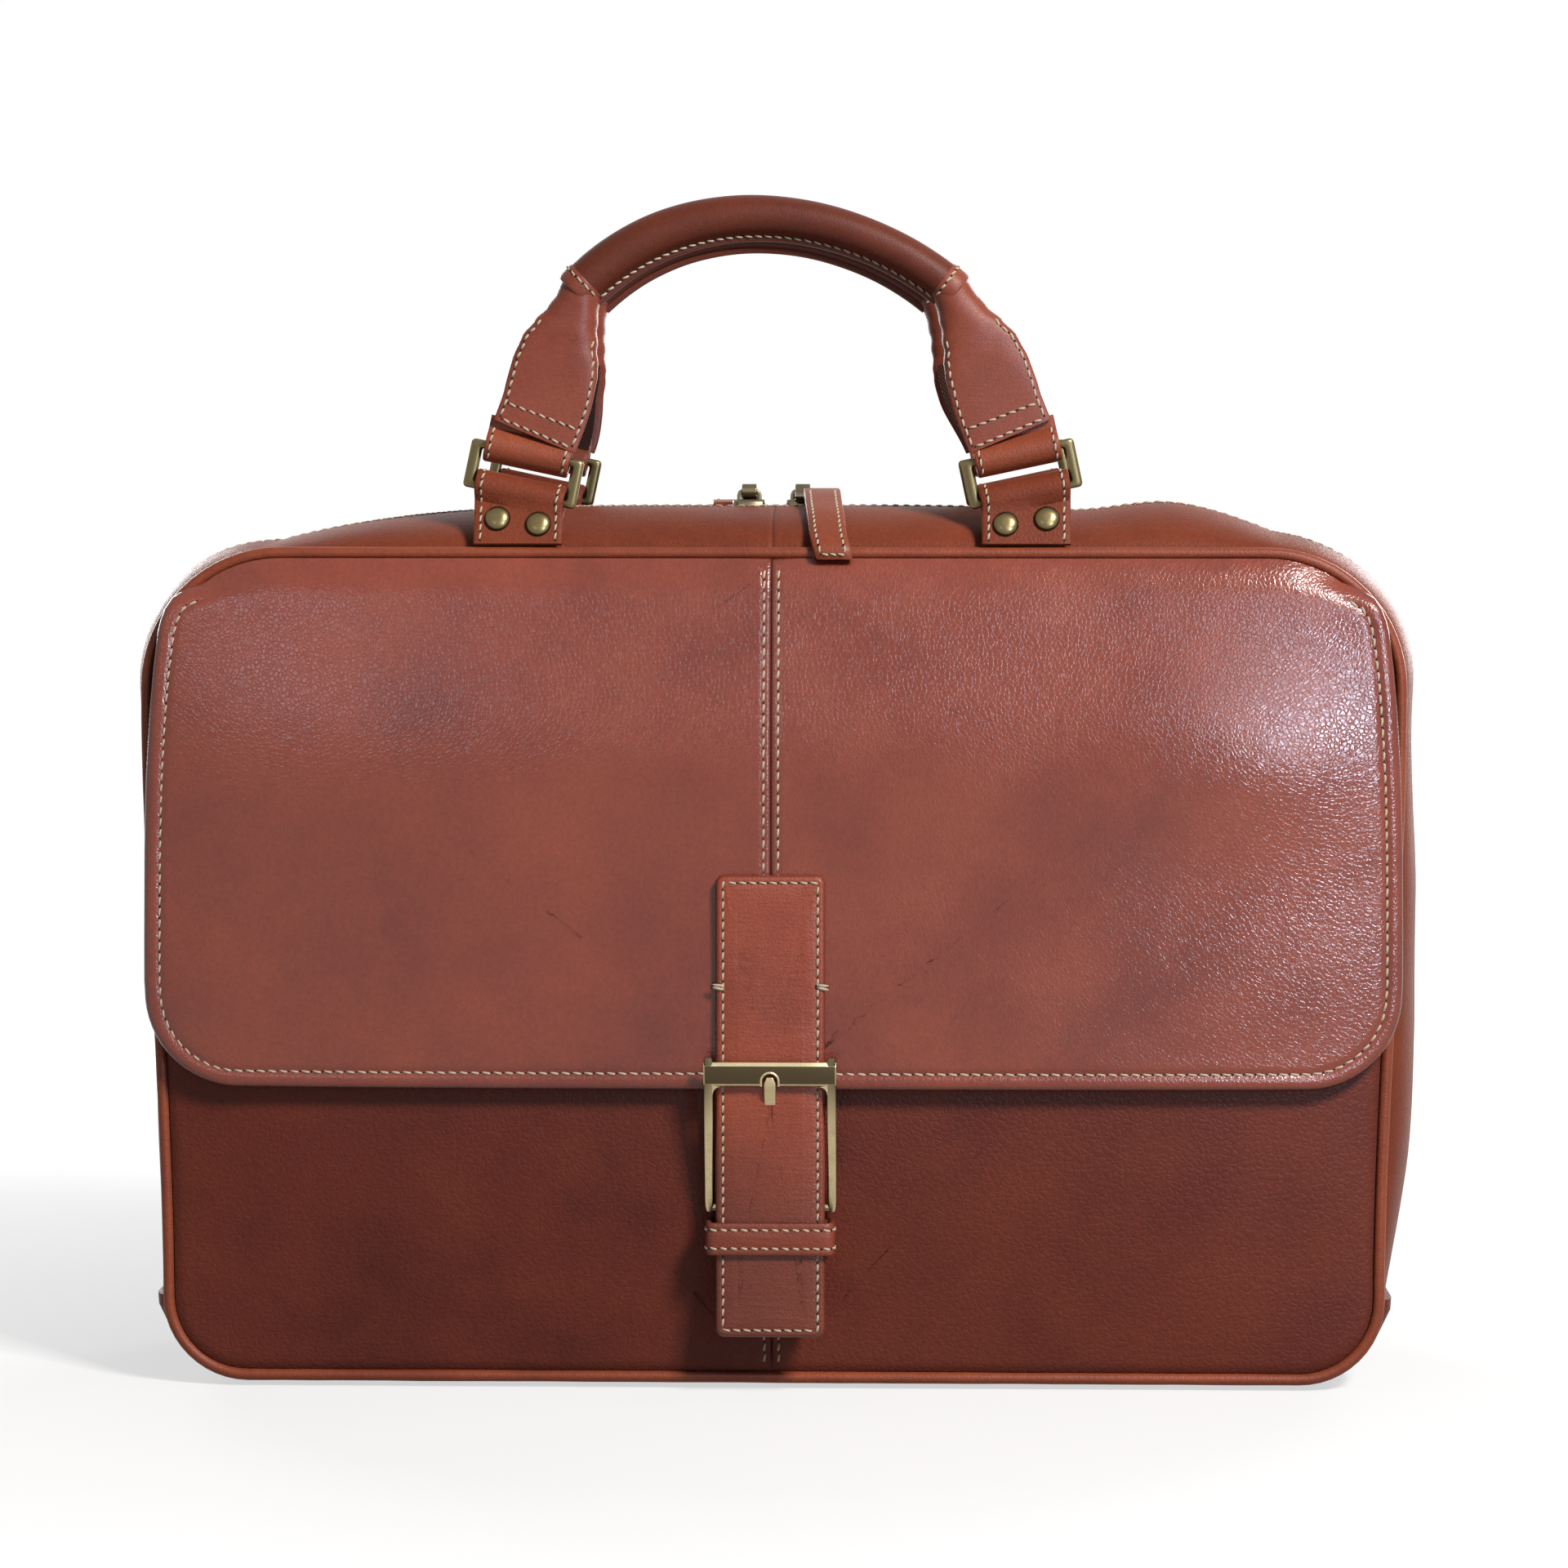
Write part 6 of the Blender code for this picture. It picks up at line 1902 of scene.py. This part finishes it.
def pull_stations(hand, side):
    """Places down the middle of a pull, each with the normal of its upper face."""
    count = len(PULL_LINE) - 1
    middle = []
    for k, (y, z) in enumerate(PULL_LINE):
        x = hand * SLIDER_X + hand * lerp(6.5, 11.5, k / count) * MM
        lift = 3.0 * clamp(1 - k / 3) if side == FRONT else -1.8 * clamp(1 - k / 5)
        middle.append(Vector((x, -side * y * MM, (z + lift) * MM)))
    stations = []
    before = Vector((0, 0, 1))
    for k, here in enumerate(middle):
        way = (middle[min(k + 1, count)] - middle[max(k - 1, 0)]).normalized()
        face = Vector((0, -way.z, way.y)).normalized()
        before = face if face.dot(before) > 0 else -face
        stations.append((here, before))
    return stations


def make_pull(hand):
    """A leather pull on a metal link; the right one lies to the front, the left one to the back."""
    name = f"{HANDS[hand]}_pull"
    side = FRONT if hand == RIGHT else BACK
    make_link(hand, side)
    stations = pull_stations(hand, side)
    rings = []
    for k, (here, face) in enumerate(stations):
        narrow, slim = (0.98, 0.55) if k in (0, len(stations) - 1) else (1.0, 1.0)
        ring = []
        for out, cross in ((1, PULL_CROSS), (-1, PULL_CROSS[::-1])):
            for a, b in cross:
                across = Vector((a * PULL_HALF * narrow, 0, 0))
                ring.append(here + across + face * out * PULL_THICK * b * slim)
        rings.append(ring)
    settle(new_object(f"{name}_leather", loft(rings), EDGE_LEATHER, 50), name, "piping_leather", name)

    def on_pull(station, across):
        here, face = station
        return here + Vector((across, 0, 0)) + face * PULL_THICK, face

    rows = [[on_pull(station, edge) for station in stations[1:-1]] for edge in (-PULL_SEAM, PULL_SEAM)]
    rows.append([on_pull(stations[-2], lerp(-PULL_SEAM, PULL_SEAM, k / 6)) for k in range(7)])
    sizes = {"pitch": 3.0, "length": 2.55, "width": 0.36, "margin": 0.3}
    settle(stitch_rows(f"{name}_stitches", rows, THREAD, **sizes), name, "webbing")


for hand in (LEFT, RIGHT):
    make_slider(hand)
    make_pull(hand)
print("sliders and pulls made")

# %% [markdown]
# ## Carried-over pieces
#
# A few solids of the frame stay as they are, because they are hidden or already right: the base board,
# the lining and the snap's two halves. They only take the finishes made above.

# %% Finishes on the frame's own pieces
CARRIED = {"base_board": BOARD, "lining": LINING, "snap_stud": DARK_BRASS, "snap_socket": DARK_BRASS}
for name, material in CARRIED.items():
    for spot in bpy.data.objects[name].material_slots:
        spot.material = material
print("carried over:", ", ".join(CARRIED))

# %% [markdown]
# ## Floor, light and camera
#
# The bag stands in a white studio. A small warm light from the upper right front shapes the leather and
# throws the flap's shadow. Three bluish lights are seen only in reflections: they give the wax its pale
# sheen and its gloss, and don't fill the shadows. Two lights behind keep the back from going dark. The
# world is white to the camera and in reflections, and dim as light on surfaces. The floor is a grey
# sheet that keeps the bag's shadow, and its glow is there for the camera and reflections only.

# %% World and floor
WHITE = (1.0, 1.0, 1.0, 1.0)


def seen_ray(tree):
    """1 for rays that the camera sees, straight or in a reflection or through glass, else 0."""
    path = node(tree, "ShaderNodeLightPath")
    seen = maths(tree, "MAXIMUM", path.outputs["Is Camera Ray"], path.outputs["Is Glossy Ray"])
    return maths(tree, "MAXIMUM", seen, path.outputs["Is Transmission Ray"])


def make_world():
    world = bpy.data.worlds.new("studio")
    world.use_nodes = True
    bpy.context.scene.world = world
    tree = world.node_tree
    tree.nodes.clear()
    strength = spread(tree, seen_ray(tree), 0.0, 1.0, 0.13, 1.0)
    back = node(tree, "ShaderNodeBackground", {"Color": WHITE, "Strength": strength})
    out = node(tree, "ShaderNodeOutputWorld")
    tree.links.new(back.outputs[0], out.inputs["Surface"])


def make_floor():
    mesh = bmesh.new()
    bmesh.ops.create_circle(mesh, cap_ends=True, radius=6.0, segments=96)
    material = bpy.data.materials.new("studio_floor")
    material.use_nodes = True
    tree = material.node_tree
    shader = tree.nodes["Principled BSDF"]
    shader.inputs["Base Color"].default_value = (0.3, 0.3, 0.3, 1.0)
    shader.inputs["Roughness"].default_value = 0.9
    shader.inputs["Specular IOR Level"].default_value = 0.0
    shader.inputs["Emission Color"].default_value = WHITE
    where = node(tree, "ShaderNodeTexCoord").outputs["Object"]
    away = node(tree, "ShaderNodeVectorMath", {0: where}, operation="LENGTH").outputs["Value"]
    glow = spread(tree, away, 0.2, 1.0, 0.62, 1.0)
    seen = maths(tree, "MULTIPLY", seen_ray(tree), glow)
    tree.links.new(seen, shader.inputs["Emission Strength"])
    floor = new_object("studio_floor", mesh, material)
    floor.location.z = -0.2 * MM
    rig.stage(floor)


# %% Lights and camera
def area_light(name, place, aim, size, power, colour):
    data = bpy.data.lights.new(name, "AREA")
    data.shape = "RECTANGLE"
    data.size, data.size_y = size
    data.energy = power
    data.color = colour
    lamp = bpy.data.objects.new(name, data)
    lamp.location = place
    lamp.rotation_euler = (Vector(aim) - Vector(place)).to_track_quat("-Z", "Y").to_euler()
    bpy.context.collection.objects.link(lamp)
    return lamp


def make_camera():
    data = bpy.data.cameras.new("photo_camera")
    data.lens = 106.3
    data.sensor_width = 36
    data.shift_y = -0.11
    camera = bpy.data.objects.new("photo_camera", data)
    camera.location = (0.045, -1.56, 0.305)
    aim = Vector((0.004, -0.05, 0.2549))
    camera.rotation_euler = (aim - camera.location).to_track_quat("-Z", "Y").to_euler()
    bpy.context.collection.objects.link(camera)
    bpy.context.scene.camera = camera


make_world()
make_floor()
area_light("key", (0.85, -1.15, 1.3), (0.0, -0.05, 0.16), (0.36, 0.36), 45, (1.0, 0.97, 0.95))
BLUISH = (0.66, 0.81, 1.0)
SHEENS = (
    ("sheen", (0.5, -1.4, 0.68), (0.12, -0.05, 0.23), (0.36, 0.3), 4.2),
    ("left sheen", (-0.5, -1.4, 0.62), (-0.14, -0.05, 0.23), (0.3, 0.25), 1.6),
    ("gloss", (0.71, -1.4, 0.34), (0.18, -0.05, 0.21), (0.18, 0.24), 11.5),
)
for name, place, aim, size, power in SHEENS:
    area_light(name, place, aim, size, power, BLUISH).visible_diffuse = False
for hand in (LEFT, RIGHT):
    place = (hand * 1.0, 1.7, 0.6)
    area_light(f"{HANDS[hand]} back", place, (0.0, 0.05, 0.2), (0.8, 0.8), 20, WHITE[:3])
make_camera()
bpy.context.scene.view_settings.view_transform = "Standard"
print("studio ready")

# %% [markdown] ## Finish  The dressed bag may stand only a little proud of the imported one, so both boxes
# are written down side by side.

# %% Sizes and table
visual_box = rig.bounds()
boxes = {"cad": [list(corner) for corner in cad_box], "visual": [list(corner) for corner in visual_box]}
with open("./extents.json", "w") as sizes:
    json.dump(boxes, sizes)
print("sizes:", boxes)
